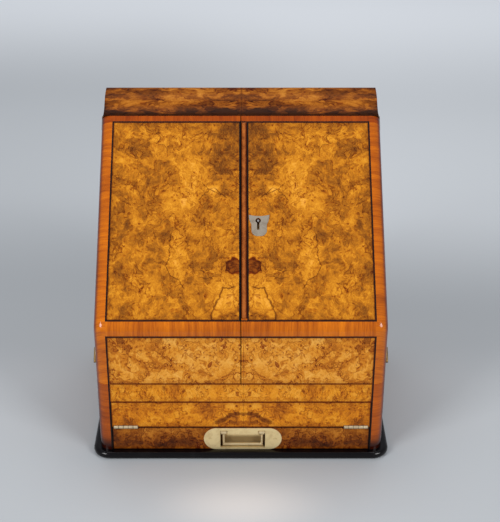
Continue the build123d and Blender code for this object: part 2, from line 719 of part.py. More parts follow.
def slope_string(edge):
    """The string round the slope's veneer, with its meeting side at edge."""
    across = (MEETING_GAP / 2, STRING_OUT)
    whole = (KNEE_TANGENT, UPPER_STRING_S)
    depth = (0, STRING_T)
    string = inlay(SLOPE, across, (KNEE_TANGENT, KNEE_TANGENT + STRING_W), depth)
    string += inlay(SLOPE, across, (UPPER_STRING_S - STRING_W, UPPER_STRING_S), depth)
    string += inlay(SLOPE, (STRING_IN, STRING_OUT), whole, depth)
    return string + inlay(SLOPE, (edge, edge + STRING_W), whole, depth)


def front_string():
    """The string above the front's veneer and down its outer side."""
    top = KNEE_H - KNEE_BAND_DROP
    across = (MEETING_GAP / 2, STRING_OUT)
    string = inlay(FRONT, across, (top - STRING_W, top), (0, STRING_T))
    return string + inlay(FRONT, (STRING_IN, STRING_OUT), (DOOR_LOW, top), (0, STRING_T))


def door_skin(edge):
    """The right door's slope and front veneers, and the string round each."""
    return slope_burr(edge), front_burr(), slope_string(edge), front_string()


# Lock --------------------------------------------------------------------------------------------

def keyhole(plane, depth):
    """The keyhole as a solid to cut with: a round hole with a slot below it."""
    outline = Pos(KEYHOLE_X, KEYHOLE_S) * Circle(KEYHOLE_R)
    outline += Pos(KEYHOLE_X, KEYHOLE_S - KEY_SLOT_L / 2) * Rectangle(KEY_SLOT_W, KEY_SLOT_L)
    return extrude(plane.offset(ESCUTCHEON_PROUD) * outline, amount=-depth - ESCUTCHEON_PROUD)


def escutcheon_outline():
    """A shield with a dished top, hollow shoulders and a rounded foot."""
    ear = (ESCUTCHEON_W / 2, ESCUTCHEON_H / 2)
    waist = (ESCUTCHEON_WAIST_W / 2, ESCUTCHEON_WAIST_RISE)
    heel = (ESCUTCHEON_WAIST_W / 2, -ESCUTCHEON_HEEL_DROP)
    foot = (0, -ESCUTCHEON_H / 2)
    right = Curve() + [
        SagittaArc(ear, waist, SHOULDER_HOLLOW),
        Line(waist, heel),
        SagittaArc(heel, foot, FOOT_FULLNESS),
    ]
    left = mirror(right, about=Plane.YZ)
    top = ThreePointArc((-ear[0], ear[1]), (0, ear[1] - ESCUTCHEON_DIP), ear)
    return Pos(ESCUTCHEON_X, ESCUTCHEON_S) * make_face(Curve() + [top, *right.edges(), *left.edges()])


def escutcheon():
    plate = extrude(
        SLOPE.offset(-ESCUTCHEON_SUNK) * escutcheon_outline(), amount=ESCUTCHEON_PROUD + ESCUTCHEON_SUNK
    )
    return plate - keyhole(SLOPE, DOOR_T)


def escutcheon_pocket():
    return extrude(SLOPE * escutcheon_outline(), amount=-ESCUTCHEON_SUNK)


def lock_block():
    """The outside of the lock case, let into the door's inner face and meeting edge."""
    x_span = (MEETING_GAP / 2, MEETING_GAP / 2 + LOCK_CASE_W)
    s_span = (ESCUTCHEON_S - LOCK_CASE_H / 2, ESCUTCHEON_S + LOCK_CASE_H / 2)
    return inlay(SLOPE, x_span, s_span, (DOOR_T - LOCK_CASE_T, DOOR_T))


def bolt_depth(clearance):
    """How deep the bolt lies under the slope's face, with a clearance on both sides."""
    front = DOOR_T - LOCK_CASE_T + LOCK_PLATE_T + BOLT_CLEARANCE
    return front - clearance, front + BOLT_T + clearance


def bolt_rise(clearance):
    return BOLT_S - BOLT_W / 2 - clearance, BOLT_S + BOLT_W / 2 + clearance


def lock_case():
    """The lock case with the bolt's channel, the key's sweep and the keyhole open."""
    start = MEETING_GAP / 2
    channel_l = BOLT_SETBACK + BOLT_L + BOLT_TRAVEL
    channel = inlay(
        SLOPE, (start, start + channel_l), bolt_rise(BOLT_CLEARANCE), bolt_depth(BOLT_CLEARANCE)
    )
    sweep_depth = bolt_depth(BOLT_CLEARANCE)
    sweep = SLOPE.offset(-sweep_depth[1]) * Pos(KEYHOLE_X, KEYHOLE_S) * extrude(
        Circle(KEY_SWEEP_R), amount=sweep_depth[1] - sweep_depth[0]
    )
    return lock_block() - channel - sweep - keyhole(SLOPE, sweep_depth[1])


def lock_pin():
    """The steel pin that a pipe key turns on, standing on the lock case's back."""
    depth = bolt_depth(BOLT_CLEARANCE)[1]
    return extrude(SLOPE.offset(-depth) * Pos(KEYHOLE_X, KEYHOLE_S) * Circle(LOCK_PIN_R), amount=depth)


def lock_bolt():
    start = MEETING_GAP / 2 + BOLT_SETBACK
    bolt = inlay(SLOPE, (start, start + BOLT_L), bolt_rise(0), bolt_depth(0))
    top = bolt_rise(0)[1]
    talon_x = (KEYHOLE_X - TALON_W / 2, KEYHOLE_X + TALON_W / 2)
    return bolt - inlay(SLOPE, talon_x, (top - TALON_DEPTH, top + 1), (0, DOOR_T))


def strike_slot(depth):
    """The hole that the bolt shoots into, in the left door's edge."""
    edge = -MEETING_GAP / 2
    return inlay(SLOPE, (edge - depth, edge), bolt_rise(STRIKE_CLEARANCE), bolt_depth(STRIKE_CLEARANCE))


def strike_blank():
    edge = -MEETING_GAP / 2
    middle = sum(bolt_depth(0)) / 2
    s_span = (BOLT_S - STRIKE_L / 2, BOLT_S + STRIKE_L / 2)
    return inlay(SLOPE, (edge - STRIKE_T, edge), s_span, (middle - STRIKE_W / 2, middle + STRIKE_W / 2))


def astragal_bead():
    """The half-round bead on the right door's meeting edge, with rounded ends."""
    half = BEAD_W / 2
    low_s = KNEE_TANGENT + STRING_W + BEAD_FOOT_GAP
    high_s = UPPER_STRING_S - STRING_W - BEAD_TOP_GAP
    origin = SLOPE.from_local_coords((MEETING_GAP / 2 + half, high_s, 0))
    end = Plane(origin=origin, x_dir=(1, 0, 0), z_dir=-SLOPE.y_dir)
    arc = ThreePointArc((-half, 0), (0, BEAD_PROUD), (half, 0))
    bead = extrude(end * make_face(Curve() + [arc, Line((half, 0), (-half, 0))]), amount=high_s - low_s)
    corners = [(low_s, -1), (low_s, BEAD_PROUD), (high_s, BEAD_PROUD), (high_s, -1)]
    side = make_face(Polyline(*corners, close=True))
    side = fillet(side.vertices().group_by(Axis.Y)[-1], BEAD_END_R)
    return bead & extrude(SLOPE_SECTION * side, amount=2 * BEAD_W, both=True)


# Writing slope -----------------------------------------------------------------------------------

def split_height(a):
    """Height of the slanting split between the two leaves."""
    return SPLIT_H + a * tan(radians(SPLIT_ANGLE))


def board_recess(side):
    """The space that a leaf's writing board and its leather fill, on one side of the split."""
    half_w = SLIDE_HALF_W - BOARD_MARGIN
    v_span = (VENEER_T + SLIDE_LEAF_W + BOARD_MARGIN, UPPER_LEAF_D - BOARD_MARGIN)
    depth = sorted((side * SPLIT_GAP / 2, side * (SPLIT_GAP / 2 + LEATHER_T + WRITING_BOARD_T)))
    return inlay(SPLIT, (-half_w, half_w), v_span, depth)


def leather(side):
    """The leather on a writing board; side is 1 below the split and -1 above it."""
    half_w = SLIDE_HALF_W - BOARD_MARGIN
    v_span = (VENEER_T + SLIDE_LEAF_W + BOARD_MARGIN, UPPER_LEAF_D - BOARD_MARGIN)
    depth = sorted((side * SPLIT_GAP / 2, side * (SPLIT_GAP / 2 + LEATHER_T)))
    return inlay(SPLIT, (-half_w, half_w), v_span, depth)


def writing_board(side):
    return board_recess(side) - leather(side)


def lower_leaf(cuts):
    """The lower leaf: a tray with a slanting top and a full-height block behind the upper leaf."""
    gap = SPLIT_GAP / 2
    block_a = UPPER_LEAF_D + gap
    outline = [
        (VENEER_T, SLIDE_FLOOR_GAP),
        (VENEER_T, split_height(VENEER_T) - gap),
        (block_a, split_height(block_a) - gap),
        (block_a, SLIDE_TOP),
        (SLIDE_D, SLIDE_TOP),
        (SLIDE_D, SLIDE_FLOOR_GAP),
    ]
    leaf = side_prism(outline, -SLIDE_HALF_W, SLIDE_HALF_W)
    inside_w = SLIDE_HALF_W - LEAF_WALL
    leaf -= block(
        (-inside_w, inside_w),
        (VENEER_T + LOWER_FRONT_T, UPPER_LEAF_D - LEAF_WALL),
        (SLIDE_FLOOR_GAP + TRAY_FLOOR_T, SLIDE_TOP),
    )
    return without(leaf - board_recess(1), cuts)


def upper_leaf(cuts):
    """The upper leaf, hollow over its own writing board."""
    gap = SPLIT_GAP / 2
    back = UPPER_LEAF_D - gap
    outline = [
        (VENEER_T, split_height(VENEER_T) + gap),
        (back, split_height(back) + gap),
        (back, SLIDE_TOP),
        (VENEER_T, SLIDE_TOP),
    ]
    leaf = side_prism(outline, -SLIDE_HALF_W, SLIDE_HALF_W)
    inside_w = SLIDE_HALF_W - LEAF_WALL
    leaf -= block(
        (-inside_w, inside_w),
        (VENEER_T + UPPER_FRONT_T, UPPER_LEAF_D - LEAF_WALL),
        (0, SLIDE_TOP - TRAY_FLOOR_T),
    )
    return without(leaf - board_recess(-1), cuts)


def lower_front_burr(cuts):
    span = (SLIDE_FLOOR_GAP, SPLIT_H - SPLIT_GAP / 2)
    return without(inlay(FRONT, (-SLIDE_HALF_W, SLIDE_HALF_W), span, (0, VENEER_T)), cuts)


def upper_front_burr(cuts):
    span = (SPLIT_H + SPLIT_GAP / 2, SLIDE_TOP)
    return without(inlay(FRONT, (-SLIDE_HALF_W, SLIDE_HALF_W), span, (0, VENEER_T)), cuts)


# Flush handle ------------------------------------------------------------------------------------

def handle_box(half_w, h_span, depth_span):
    """A box of the handle, centred on it sideways."""
    return inlay(FRONT, (HANDLE_X - half_w, HANDLE_X + half_w), h_span, depth_span)


def handle_blank():
    """The outside of the handle's plate: a slot shape, partly let into the front."""
    outline = Pos(HANDLE_X, HANDLE_H) * SlotOverall(HANDLE_W, HANDLE_T)
    return extrude(FRONT.offset(-HANDLE_SUNK) * outline, amount=HANDLE_SUNK + HANDLE_PROUD)


def handle_pan():
    """The outside of the pan behind the plate."""
    h_span = (RECESS_LOW - PAN_WALL, RECESS_HIGH + PAN_WALL)
    return handle_box(RECESS_HALF_W + PAN_WALL, h_span, (HANDLE_SUNK, HANDLE_SUNK + PAN_DEPTH))


def handle_plate(screw_holes):
    """The plate and its pan, with the lug that carries the bail's pin between its two eyes."""
    plate = handle_blank() + handle_pan()
    floor = HANDLE_SUNK + PAN_DEPTH - PAN_WALL
    plate -= handle_box(RECESS_HALF_W, (RECESS_LOW, RECESS_HIGH), (-HANDLE_PROUD, floor))
    plate += handle_box(LUG_W / 2, (RECESS_HIGH - LUG_H, RECESS_HIGH), (-HANDLE_PROUD, LUG_DEPTH))
    return without(plate - bail_rod(BAIL_PIN_R, 2 * RECESS_HALF_W + PAN_WALL), screw_holes)


def bail_rod(radius, length):
    """A rod on the bail's axis."""
    middle = FRONT.from_local_coords((HANDLE_X, BAIL_PIVOT_H, -BAIL_PIVOT_DEPTH))
    return Pos(*middle) * Rot(0, 90, 0) * Cylinder(radius, length)


def handle_pin():
    return bail_rod(BAIL_PIN_R, 2 * RECESS_HALF_W + PAN_WALL)


def handle_bail():
    """The bail: a bar and two legs, hanging from eyes on the pin."""
    outer = BAIL_EYE_X + BAIL_LEG_W / 2
    depth = (BAIL_PIVOT_DEPTH - BAIL_T / 2, BAIL_PIVOT_DEPTH + BAIL_T / 2)
    bail = handle_box(outer, (BAIL_LOW, BAIL_PIVOT_H), depth)
    bail -= handle_box(outer - BAIL_LEG_W, (BAIL_LOW + BAIL_BAR_H, BAIL_PIVOT_H + BAIL_T), depth)
    along = bail.edges().filter_by(Axis.X) + bail.edges().filter_by(Axis.Z)
    top_z = BASE_H + BAIL_PIVOT_H
    bail = fillet([edge for edge in along if edge.center().Z < top_z - 1], BAIL_EDGE_R)
    eye = Rot(0, 90, 0) * Cylinder(BAIL_EYE_R, BAIL_EYE_L)
    for side in (-1, 1):
        place_at = FRONT.from_local_coords((HANDLE_X + side * BAIL_EYE_X, BAIL_PIVOT_H, -BAIL_PIVOT_DEPTH))
        bail += Pos(*place_at) * eye
    return bail - bail_rod(BAIL_PIN_R + PIN_CLEARANCE, 2 * RECESS_HALF_W + PAN_WALL)


def handle_screws():
    """The two countersunk screws of the handle, with their slots."""
    screws = []
    for side in (-1, 1):
        middle = FRONT.offset(HANDLE_PROUD) * Pos(HANDLE_X + side * SCREW_X, HANDLE_H, 0)
        head = Pos(0, 0, -SCREW_HEAD_H / 2) * Cone(SCREW_R, SCREW_HEAD_R, SCREW_HEAD_H)
        shank = Pos(0, 0, -SCREW_L / 2) * Cylinder(SCREW_R, SCREW_L)
        slot = Box(2 * SCREW_HEAD_R, SCREW_SLOT_W, SCREW_SLOT_W)
        screws.append((middle * (head + shank), middle * slot))
    return screws


# Assembly ----------------------------------------------------------------------------------------

def case_parts():
    """The case, with its linings, letter rack, pen tray and inkwells."""
    right_hinges = door_hinges()
    lid_set = lid_hinges()
    side = case_side(right_hinges[3] + lid_set[3])
    pins = right_hinges[2] + [left_of(pin) for pin in right_hinges[2]] + lid_set[2]
    pins += [cap_pin(-INKWELL_X), cap_pin(INKWELL_X)]
    parts = {
        "base_moulding": base_moulding(),
        "bottom_board": bottom_board(),
        "right_stile": stile(),
        "left_stile": left_of(stile()),
        "case_stringing": group(stile_string(), left_of(stile_string())),
        "right_side": side,
        "left_side": left_of(side),
        "back_panel": back_panel(lid_set[3]),
        "slide_guides": group(slide_guide(), left_of(slide_guide())),
        "dust_board": dust_board(),
        "front_rail": front_rail(),
        "front_rail_burr": front_rail_burr(),
        "right_lining": lining(),
        "left_lining": left_of(lining()),
        "rack_partition": rack_partition(),
        "pen_tray": pen_tray(),
        "inkwell_collars": group(inkwell_collar(-INKWELL_X), inkwell_collar(INKWELL_X)),
        "door_hinge_case_leaves": group(*right_hinges[0], *[left_of(leaf) for leaf in right_hinges[0]]),
        "lid_hinge_case_leaves": group(*lid_set[0]),
        "case_hinge_pins": group(*pins),
    }
    for index, name in enumerate(("front", "middle", "back")):
        parts["divider_" + name] = divider(index)
    for name, x in (("left", -INKWELL_X), ("right", INKWELL_X)):
        parts[name + "_inkwell_glass"] = inkwell_glass(x)
        parts[name + "_inkwell_cap"] = inkwell_cap(x)
    return parts


def lid_parts():
    form = lid_form()
    lid_set = lid_hinges()
    return {
        "lid_core": lid_core(form, lid_set[4]),
        "lid_burr": lid_burr(form),
        "lid_hinge_leaves": group(*lid_set[1]),
    }


def door_parts():
    """Both doors, alike but for the lock, keyhole, escutcheon and bead on the right one."""
    hinges = door_hinges()
    blank = door_blank(hinges[4])
    right = door_skin(BEAD_EDGE_X)
    left = [left_of(piece) for piece in door_skin(MEETING_GAP / 2)]
    keyway = keyhole(SLOPE, DOOR_T)
    mortise = [strike_blank(), strike_slot(BOLT_TRAVEL + STRIKE_T)]
    return {
        "left_door_core": without(left_of(blank), [*left, *mortise]),
        "left_door_slope_burr": left[0],
        "left_door_front_burr": left[1],
        "left_door_stringing": group(*left[2:]),
        "left_door_hinge_leaves": group(*[left_of(leaf) for leaf in hinges[1]]),
        "strike_plate": strike_blank() - strike_slot(2 * STRIKE_T),
        "right_door_core": without(blank, [*right, lock_block(), keyway]),
        "right_door_slope_burr": without(right[0], [escutcheon_pocket(), keyway]),
        "right_door_front_burr": right[1],
        "right_door_stringing": group(*right[2:]),
        "right_door_hinge_leaves": group(*hinges[1]),
        "lock_case": lock_case(),
        "lock_pin": lock_pin(),
        "lock_bolt": lock_bolt(),
        "escutcheon": escutcheon(),
        "astragal_bead": astragal_bead(),
    }


def writing_slope_parts():
    hinges = writing_hinges()
    screws = handle_screws()
    handle_cuts = [handle_blank(), handle_pan()] + [screw for screw, _ in screws]
    return {
        "writing_lower_leaf": lower_leaf(hinges[3] + handle_cuts),
        "writing_upper_leaf": upper_leaf(hinges[4]),
        "writing_lower_burr": lower_front_burr(hinges[3] + handle_cuts),
        "writing_upper_burr": upper_front_burr(hinges[4]),
        "writing_boards": group(writing_board(1), writing_board(-1)),
        "writing_leathers": group(leather(1), leather(-1)),
        "writing_hinge_lower_leaves": group(*hinges[0]),
        "writing_hinge_upper_leaves": group(*hinges[1]),
        "writing_hinge_pins": group(*hinges[2]),
        "handle_plate": handle_plate([screw for screw, _ in screws]),
        "handle_pin": handle_pin(),
        "handle_screws": group(*[screw - slot for screw, slot in screws]),
        "handle_bail": handle_bail(),
    }


def main():
    os.makedirs("parts", exist_ok=True)
    parts = {**case_parts(), **lid_parts(), **door_parts(), **writing_slope_parts()}
    for name, part in parts.items():
        export_step(part, "parts/" + name + ".step")


main()
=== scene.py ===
# %% [markdown]
# # A slope-front stationery box
# The real object is a walnut cabinet for paper and letters: two wrap-around doors in burr walnut, a moulded
# lid, a pull-out writing slope below, and an ebonised base. The solids come ready made from the CAD model,
# so this script dresses them: it gives every part its finish, adds the small things that CAD leaves out, and
# sets up the camera and the light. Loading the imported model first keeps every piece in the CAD's own frame.

import json
from math import atan2, cos, hypot, radians, sin

import bmesh
import bpy
from mathutils import Matrix, Vector


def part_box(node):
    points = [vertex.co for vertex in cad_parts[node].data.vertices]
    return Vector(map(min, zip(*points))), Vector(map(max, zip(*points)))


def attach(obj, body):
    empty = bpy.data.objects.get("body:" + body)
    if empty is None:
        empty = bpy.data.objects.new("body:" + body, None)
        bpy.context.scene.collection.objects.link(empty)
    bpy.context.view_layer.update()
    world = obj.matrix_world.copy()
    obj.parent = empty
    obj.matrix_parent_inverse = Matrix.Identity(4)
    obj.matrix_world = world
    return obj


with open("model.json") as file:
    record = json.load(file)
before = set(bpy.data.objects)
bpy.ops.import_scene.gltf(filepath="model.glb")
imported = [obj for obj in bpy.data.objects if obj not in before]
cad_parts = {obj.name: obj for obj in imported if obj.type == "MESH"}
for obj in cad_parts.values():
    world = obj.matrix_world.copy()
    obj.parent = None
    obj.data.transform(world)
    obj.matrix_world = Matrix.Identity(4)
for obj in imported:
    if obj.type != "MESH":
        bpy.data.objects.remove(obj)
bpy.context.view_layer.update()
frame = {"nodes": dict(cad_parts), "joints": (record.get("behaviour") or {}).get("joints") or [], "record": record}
nodes = frame["nodes"]

# %% [markdown]
# ## Arithmetic with sockets
# A wood finish is mostly arithmetic: stretched noise, plus a cloud, times a mask. Drawn as nodes that takes
# dozens of boxes, and building each box by hand in Python hides the sum. This class wraps one output socket,
# so that a line such as `0.6 * cloud + 0.4 * flame` adds the Math nodes by itself. Every other node comes
# from one method, `node`, which sets the node's options first and then fills or joins its inputs.


# %% A socket that takes part in sums
class Wire:
    """One output of a node, in a material's tree."""

    def __init__(self, tree, socket):
        self.tree = tree
        self.socket = socket

    def node(self, kind, settings, inputs, output=0):
        """Adds a node, sets it, fills or joins its inputs, and wraps one of its outputs."""
        made = self.tree.nodes.new(kind)
        stops = settings.pop("stops", [])
        for name, value in settings.items():
            setattr(made, name, value)
        for index, (place, colour) in enumerate(stops):
            ramp = made.color_ramp.elements
            stop = ramp[index] if index < 2 else ramp.new(place)
            stop.position = place
            stop.color = colour
        for key, value in inputs.items():
            if isinstance(value, Wire):
                self.tree.links.new(value.socket, made.inputs[key])
            else:
                made.inputs[key].default_value = value
        return Wire(self.tree, made.outputs[output])

    def maths(self, operation, *values):
        """A Math node of some values."""
        return self.node("ShaderNodeMath", {"operation": operation}, dict(enumerate(values)))

    def __add__(self, other):
        return self.maths("ADD", self, other)

    def __sub__(self, other):
        return self.maths("SUBTRACT", self, other)

    def __rsub__(self, other):
        return self.maths("SUBTRACT", other, self)

    def __mul__(self, other):
        return self.maths("MULTIPLY", self, other)

    def __truediv__(self, other):
        return self.maths("DIVIDE", self, other)

    def __abs__(self):
        return self.maths("ABSOLUTE", self)

    __radd__ = __add__
    __rmul__ = __mul__


# %% [markdown]
# ## Helpers for every finish
# Each finish starts from Object coordinates, which stay with the piece when a door swings, and works in
# millimetres, because a burr's eye of 2 mm is easier to picture than 0.002. Colours are written as they look
# on a screen, from 0 to 255, and turned into the linear values that Blender's sockets hold.


# %% Colours, a new material, and its shader
def linear(value):
    """One channel of a screen colour as the linear value that a socket holds."""
    part = value / 255
    return part / 12.92 if part < 0.0405 else ((part + 0.055) / 1.055) ** 2.4


def shade(red, green, blue):
    """A screen colour as linear RGBA."""
    return (linear(red), linear(green), linear(blue), 1)


def new_finish(name):
    """A new material, and the place on the piece in millimetres."""
    finish = bpy.data.materials.new(name)
    finish.use_nodes = True
    tree = finish.node_tree
    metres = Wire(tree, tree.nodes.new("ShaderNodeTexCoord").outputs["Object"])
    return finish, metres.node(
        "ShaderNodeVectorMath", {"operation": "MULTIPLY"}, {0: metres, 1: (1000, 1000, 1000)}
    )


def fill_shader(finish, varying, constant):
    """Joins or sets the sockets of a finish's Principled shader."""
    shader = finish.node_tree.nodes["Principled BSDF"]
    for key, wire in varying.items():
        finish.node_tree.links.new(wire.socket, shader.inputs[key])
    for key, value in constant.items():
        shader.inputs[key].default_value = value
    return finish


print("a golden burr tone, linear:", shade(210, 140, 34))


# %% Places and textures on them
FLAT = 1e6  # a length so great that nothing changes along it


def split(place):
    """The three numbers of a place."""
    parts = place.node("ShaderNodeSeparateXYZ", {}, {0: place})
    return [Wire(place.tree, output) for output in parts.socket.node.outputs]


def joined(x, y, z):
    """A place from three numbers, of which x is a wire."""
    return x.node("ShaderNodeCombineXYZ", {}, {0: x, 1: y, 2: z})


def stretched(place, size, turn=0.0, centre=(0, 0)):
    """A place measured in steps of the given size, so that 1 unit of a texture is that long."""
    return place.node(
        "ShaderNodeMapping",
        {"vector_type": "TEXTURE"},
        {"Vector": place, "Scale": size, "Rotation": (0, 0, turn), "Location": (*centre, 0)},
    )


def noise(place, detail=2.0, rough=0.5, twist=0.0, output=0):
    """Soft noise, or with output 1 a different noise in each channel of a colour."""
    return place.node(
        "ShaderNodeTexNoise",
        {},
        {"Vector": place, "Scale": 1.0, "Detail": detail, "Roughness": rough, "Distortion": twist},
        output,
    )


def cells(place, output=0):
    """The distance from the nearest seed of a honeycomb, or with output 1 a colour for each cell."""
    return place.node("ShaderNodeTexVoronoi", {}, {"Vector": place, "Scale": 1.0}, output)


def pushed(place, amount, size, detail=1.0):
    """A place pushed about by noise, which makes straight figure wander."""
    push = noise(stretched(place, (size, size, size)), detail, output=1)
    centred = push.node("ShaderNodeVectorMath", {"operation": "SUBTRACT"}, {0: push, 1: (0.5, 0.5, 0.5)})
    scaled = push.node("ShaderNodeVectorMath", {"operation": "SCALE"}, {0: centred, "Scale": amount})
    return push.node("ShaderNodeVectorMath", {"operation": "ADD"}, {0: place, 1: scaled})


# %% Masks
def rise(value, low, high):
    """0 below low, 1 above high, and a smooth step between; low may be the larger."""
    return value.node(
        "ShaderNodeMapRange",
        {"interpolation_type": "SMOOTHSTEP"},
        {"Value": value, "From Min": low, "From Max": high},
    )


def least(first, *others):
    """The smallest of some values, of which the first is a wire."""
    for other in others:
        first = first.maths("MINIMUM", first, other)
    return first


def contour(field, level, width):
    """A thin line where a field passes a level."""
    return rise(abs(field - level), width, width * 0.25)


def oval(place, across, up, half_w, half_h, turn=0.0):
    """0 at the middle of an ellipse on a panel, and 1 at its edge."""
    near = stretched(place, (half_w, half_h, FLAT), turn, (across, up))
    return near.node("ShaderNodeVectorMath", {"operation": "LENGTH"}, {0: near}, 1)


def spot(place, across, up, half_w, half_h):
    """1 at a place on the panel, fading to 0 at an ellipse round it."""
    return rise(oval(place, across, up, half_w, half_h), 1, 0)


# %% Colours along a value and over each other
def tinted(value, places, tones):
    """Tones along a value, each at its own place."""
    stops = [(place, shade(*tone)) for place, tone in zip(places, tones)]
    return value.node("ShaderNodeValToRGB", {"stops": stops}, {0: value})


def laid(under, over, mask):
    """One colour over another, where the mask is 1."""
    return mask.node("ShaderNodeMix", {"data_type": "RGBA"}, {0: mask, 6: under, 7: over}, 2)


def multiplied(under, over, mask):
    """One colour darkened by another, where the mask is 1."""
    settings = {"data_type": "RGBA", "blend_type": "MULTIPLY"}
    return mask.node("ShaderNodeMix", settings, {0: mask, 6: under, 7: over}, 2)


def bumped(height, depth_mm, strength=1.0):
    """A Bump node's normal for a height of 0 to 1 that stands for a depth in millimetres."""
    inputs = {"Strength": strength, "Distance": depth_mm / 1000, "Height": height}
    return height.node("ShaderNodeBump", {}, inputs)


# %% [markdown]
# ## Places on a panel
# The doors, the rail and the leaves are flat panels that stand upright or lean back. A veneer's figure is
# drawn on the panel, so its two numbers are the distance from the middle and the height up the panel. Two
# sheets cut one after the other are opened like a book, so each pair of panels mirrors about the middle. The
# mirror is only the absolute value of the distance from it.

# %% Where a point lies on a panel
LEAN = radians(43)  # of the doors' slope, from the horizontal
UPRIGHT = radians(90)
HALF_W = 167.5  # of the case
FRONT_Y = -124.0
KNEE_Z = 176.0  # where the slope and the upright front would meet
MIDDLE = 3.0  # of the book-matched figure


def height_up(y, z, lean):
    """The distance up a panel from the knee."""
    return (y - FRONT_Y) * cos(lean) + (z - KNEE_Z) * sin(lean)


def panel_place(place, lean, seed, middle, wide):
    """Distance from the middle, height up the panel from the knee, and a number that picks the tree."""
    x, y, z = split(place)
    return joined(abs(x - middle) / wide, height_up(y, z, lean), seed)


def near_rim(place, lean, rim, reach):
    """1 at the rim of a panel that spans both ways from the box's middle, fading to 0 inside it."""
    side, low, high = rim
    x, y, z = split(place)
    up = height_up(y, z, lean)
    return rise(least(side - abs(x), up - low, high - up), reach, 0)


print("the doors' slope leans at", round(LEAN, 3), "radians")

# %% [markdown]
# ## Burr walnut
# A burr is a swelling on the trunk where the grain turns round hundreds of small buds. Cut into veneer it
# shows clouds of gold and brown, thin swirling lines, and dark eyes of a millimetre or two. Plain noise looks
# like smoke, so the place itself is pushed about by noise first, two or three times over, and then the same
# noise curls. The clouds and knots that the eye knows a panel by are listed as soft ellipses, with
# their places and sizes in millimetres.


# %% The layers of a burr
class Burr:
    """The layers of one sheet of burr: places that wander more and more, and tones drawn on them."""

    def __init__(self, panel, size, clouds, knots):
        self.panel = panel
        wandering = pushed(panel, 20 * size, 44 * size, 2)
        self.curly = pushed(wandering, 12 * size, 12 * size, 3)
        crinkled = pushed(self.curly, 3.4, 3.6, 2)
        wavy = pushed(self.curly, 2.0, 5.0, 1)
        self.cloud = 0.6 * noise(stretched(self.curly, (36 * size, 50 * size, 30)), 3, 0.55) + 0.2
        for across, up, half_w, half_h, strength in clouds:
            self.cloud = self.cloud + strength * spot(self.curly, across, up, half_w, half_h)
        self.flame = noise(stretched(crinkled, (13 * size, 11 * size, 20)), 4, 0.62, 0.3)
        self.fine = noise(stretched(crinkled, (1.5, 2.1, 5)), 3, 0.7)
        self.comb = noise(stretched(crinkled, (0.55, 6.0, 5)), 2, 0.6)
        self.pores = noise(stretched(crinkled, (0.5, 0.9, 2)), 2, 0.7)
        self.shown = rise(noise(stretched(wandering, (19 * size, 23 * size, 9)), 2), 0.4, 0.62)
        self.knots = [spot(wavy, x, up, 1.5 * half_w, 1.5 * half_h) for x, up, half_w, half_h in knots]
        field = noise(stretched(wavy, (20 * size, 24 * size, 9)), 2, 0.5)
        for across, up, half_w, half_h in knots:
            field = field + 0.35 * spot(wavy, across, up, 3.0 * half_w, 3.0 * half_h)
        rings = 20 * field
        self.wave = rings.maths("SINE", rings)

    def tone(self, contrast, lift, curl):
        """The layers as one tone: brown below 0.4, gold above 0.6."""
        value = 0.95 * self.cloud + 0.45 * self.flame + 0.34 * self.fine + 0.22 * self.comb - 0.48
        value = contrast * (value + 0.07 * curl * self.wave) + (0.5 + lift - 0.5 * contrast)
        for knot in self.knots:
            value = value - 0.11 * rise(knot, 0.06, 0.42)
        return value


# %% [markdown]
# ### Lines, eyes and knots
# Curling lines lie where a noise passes a level, like the contours of a map, so they never cross. Old cracks
# and bark lines are drawn as runs of long spots on a place that is pushed about by a different noise.
# The eyes are the seeds of a honeycomb, of which only some are shown, each with a paler ring.


# %% Lines in the figure
# The last colour darkens the seam between the matched sheets, a real joint, and also paints shade along each
# panel's rim.
SWIRL, VEIN, CRACK, SEAM_AND_RIM_SHADE = shade(158, 104, 70), shade(140, 84, 50), shade(104, 52, 30), shade(120, 66, 40)


def trail(place, points, half_w, overlap=0.72):
    """A thin wandering line through some points, as a run of long overlapping spots."""
    line = 0.0
    for (x1, y1), (x2, y2) in zip(points, points[1:]):
        half_l = hypot(x2 - x1, y2 - y1) * overlap
        away = oval(place, (x1 + x2) / 2, (y1 + y2) / 2, half_l, half_w, atan2(y2 - y1, x2 - x1))
        line = rise(away, 1.0, 0.45) + line
    return least(line, 1.0)


def with_lines(colour, sheet, curl, cracks):
    """Swirls and veins, the seam between the matched sheets, and the cracks."""
    swirl = rise(abs(sheet.wave + 0.25), 0.45, 0.05)
    colour = multiplied(colour, SWIRL, swirl * (0.3 + 0.7 * sheet.shown) * curl)
    veins = contour(sheet.flame, 0.44, 0.016) + contour(sheet.flame, 0.56, 0.014)
    veins = (veins + contour(sheet.cloud, 0.5, 0.008)) * sheet.shown
    colour = multiplied(colour, VEIN, least(veins, 1.0) * (0.7 * curl))
    colour = multiplied(colour, SEAM_AND_RIM_SHADE, rise(split(sheet.panel)[0], 0.5, 0.1) * 0.4)
    crooked = pushed(pushed(sheet.panel, 7.0, 13.0, 2), 2.4, 3.0, 2)
    for points, half_w in cracks:
        colour = multiplied(colour, CRACK, trail(crooked, points, half_w) * (0.2 + sheet.fine))
    return colour


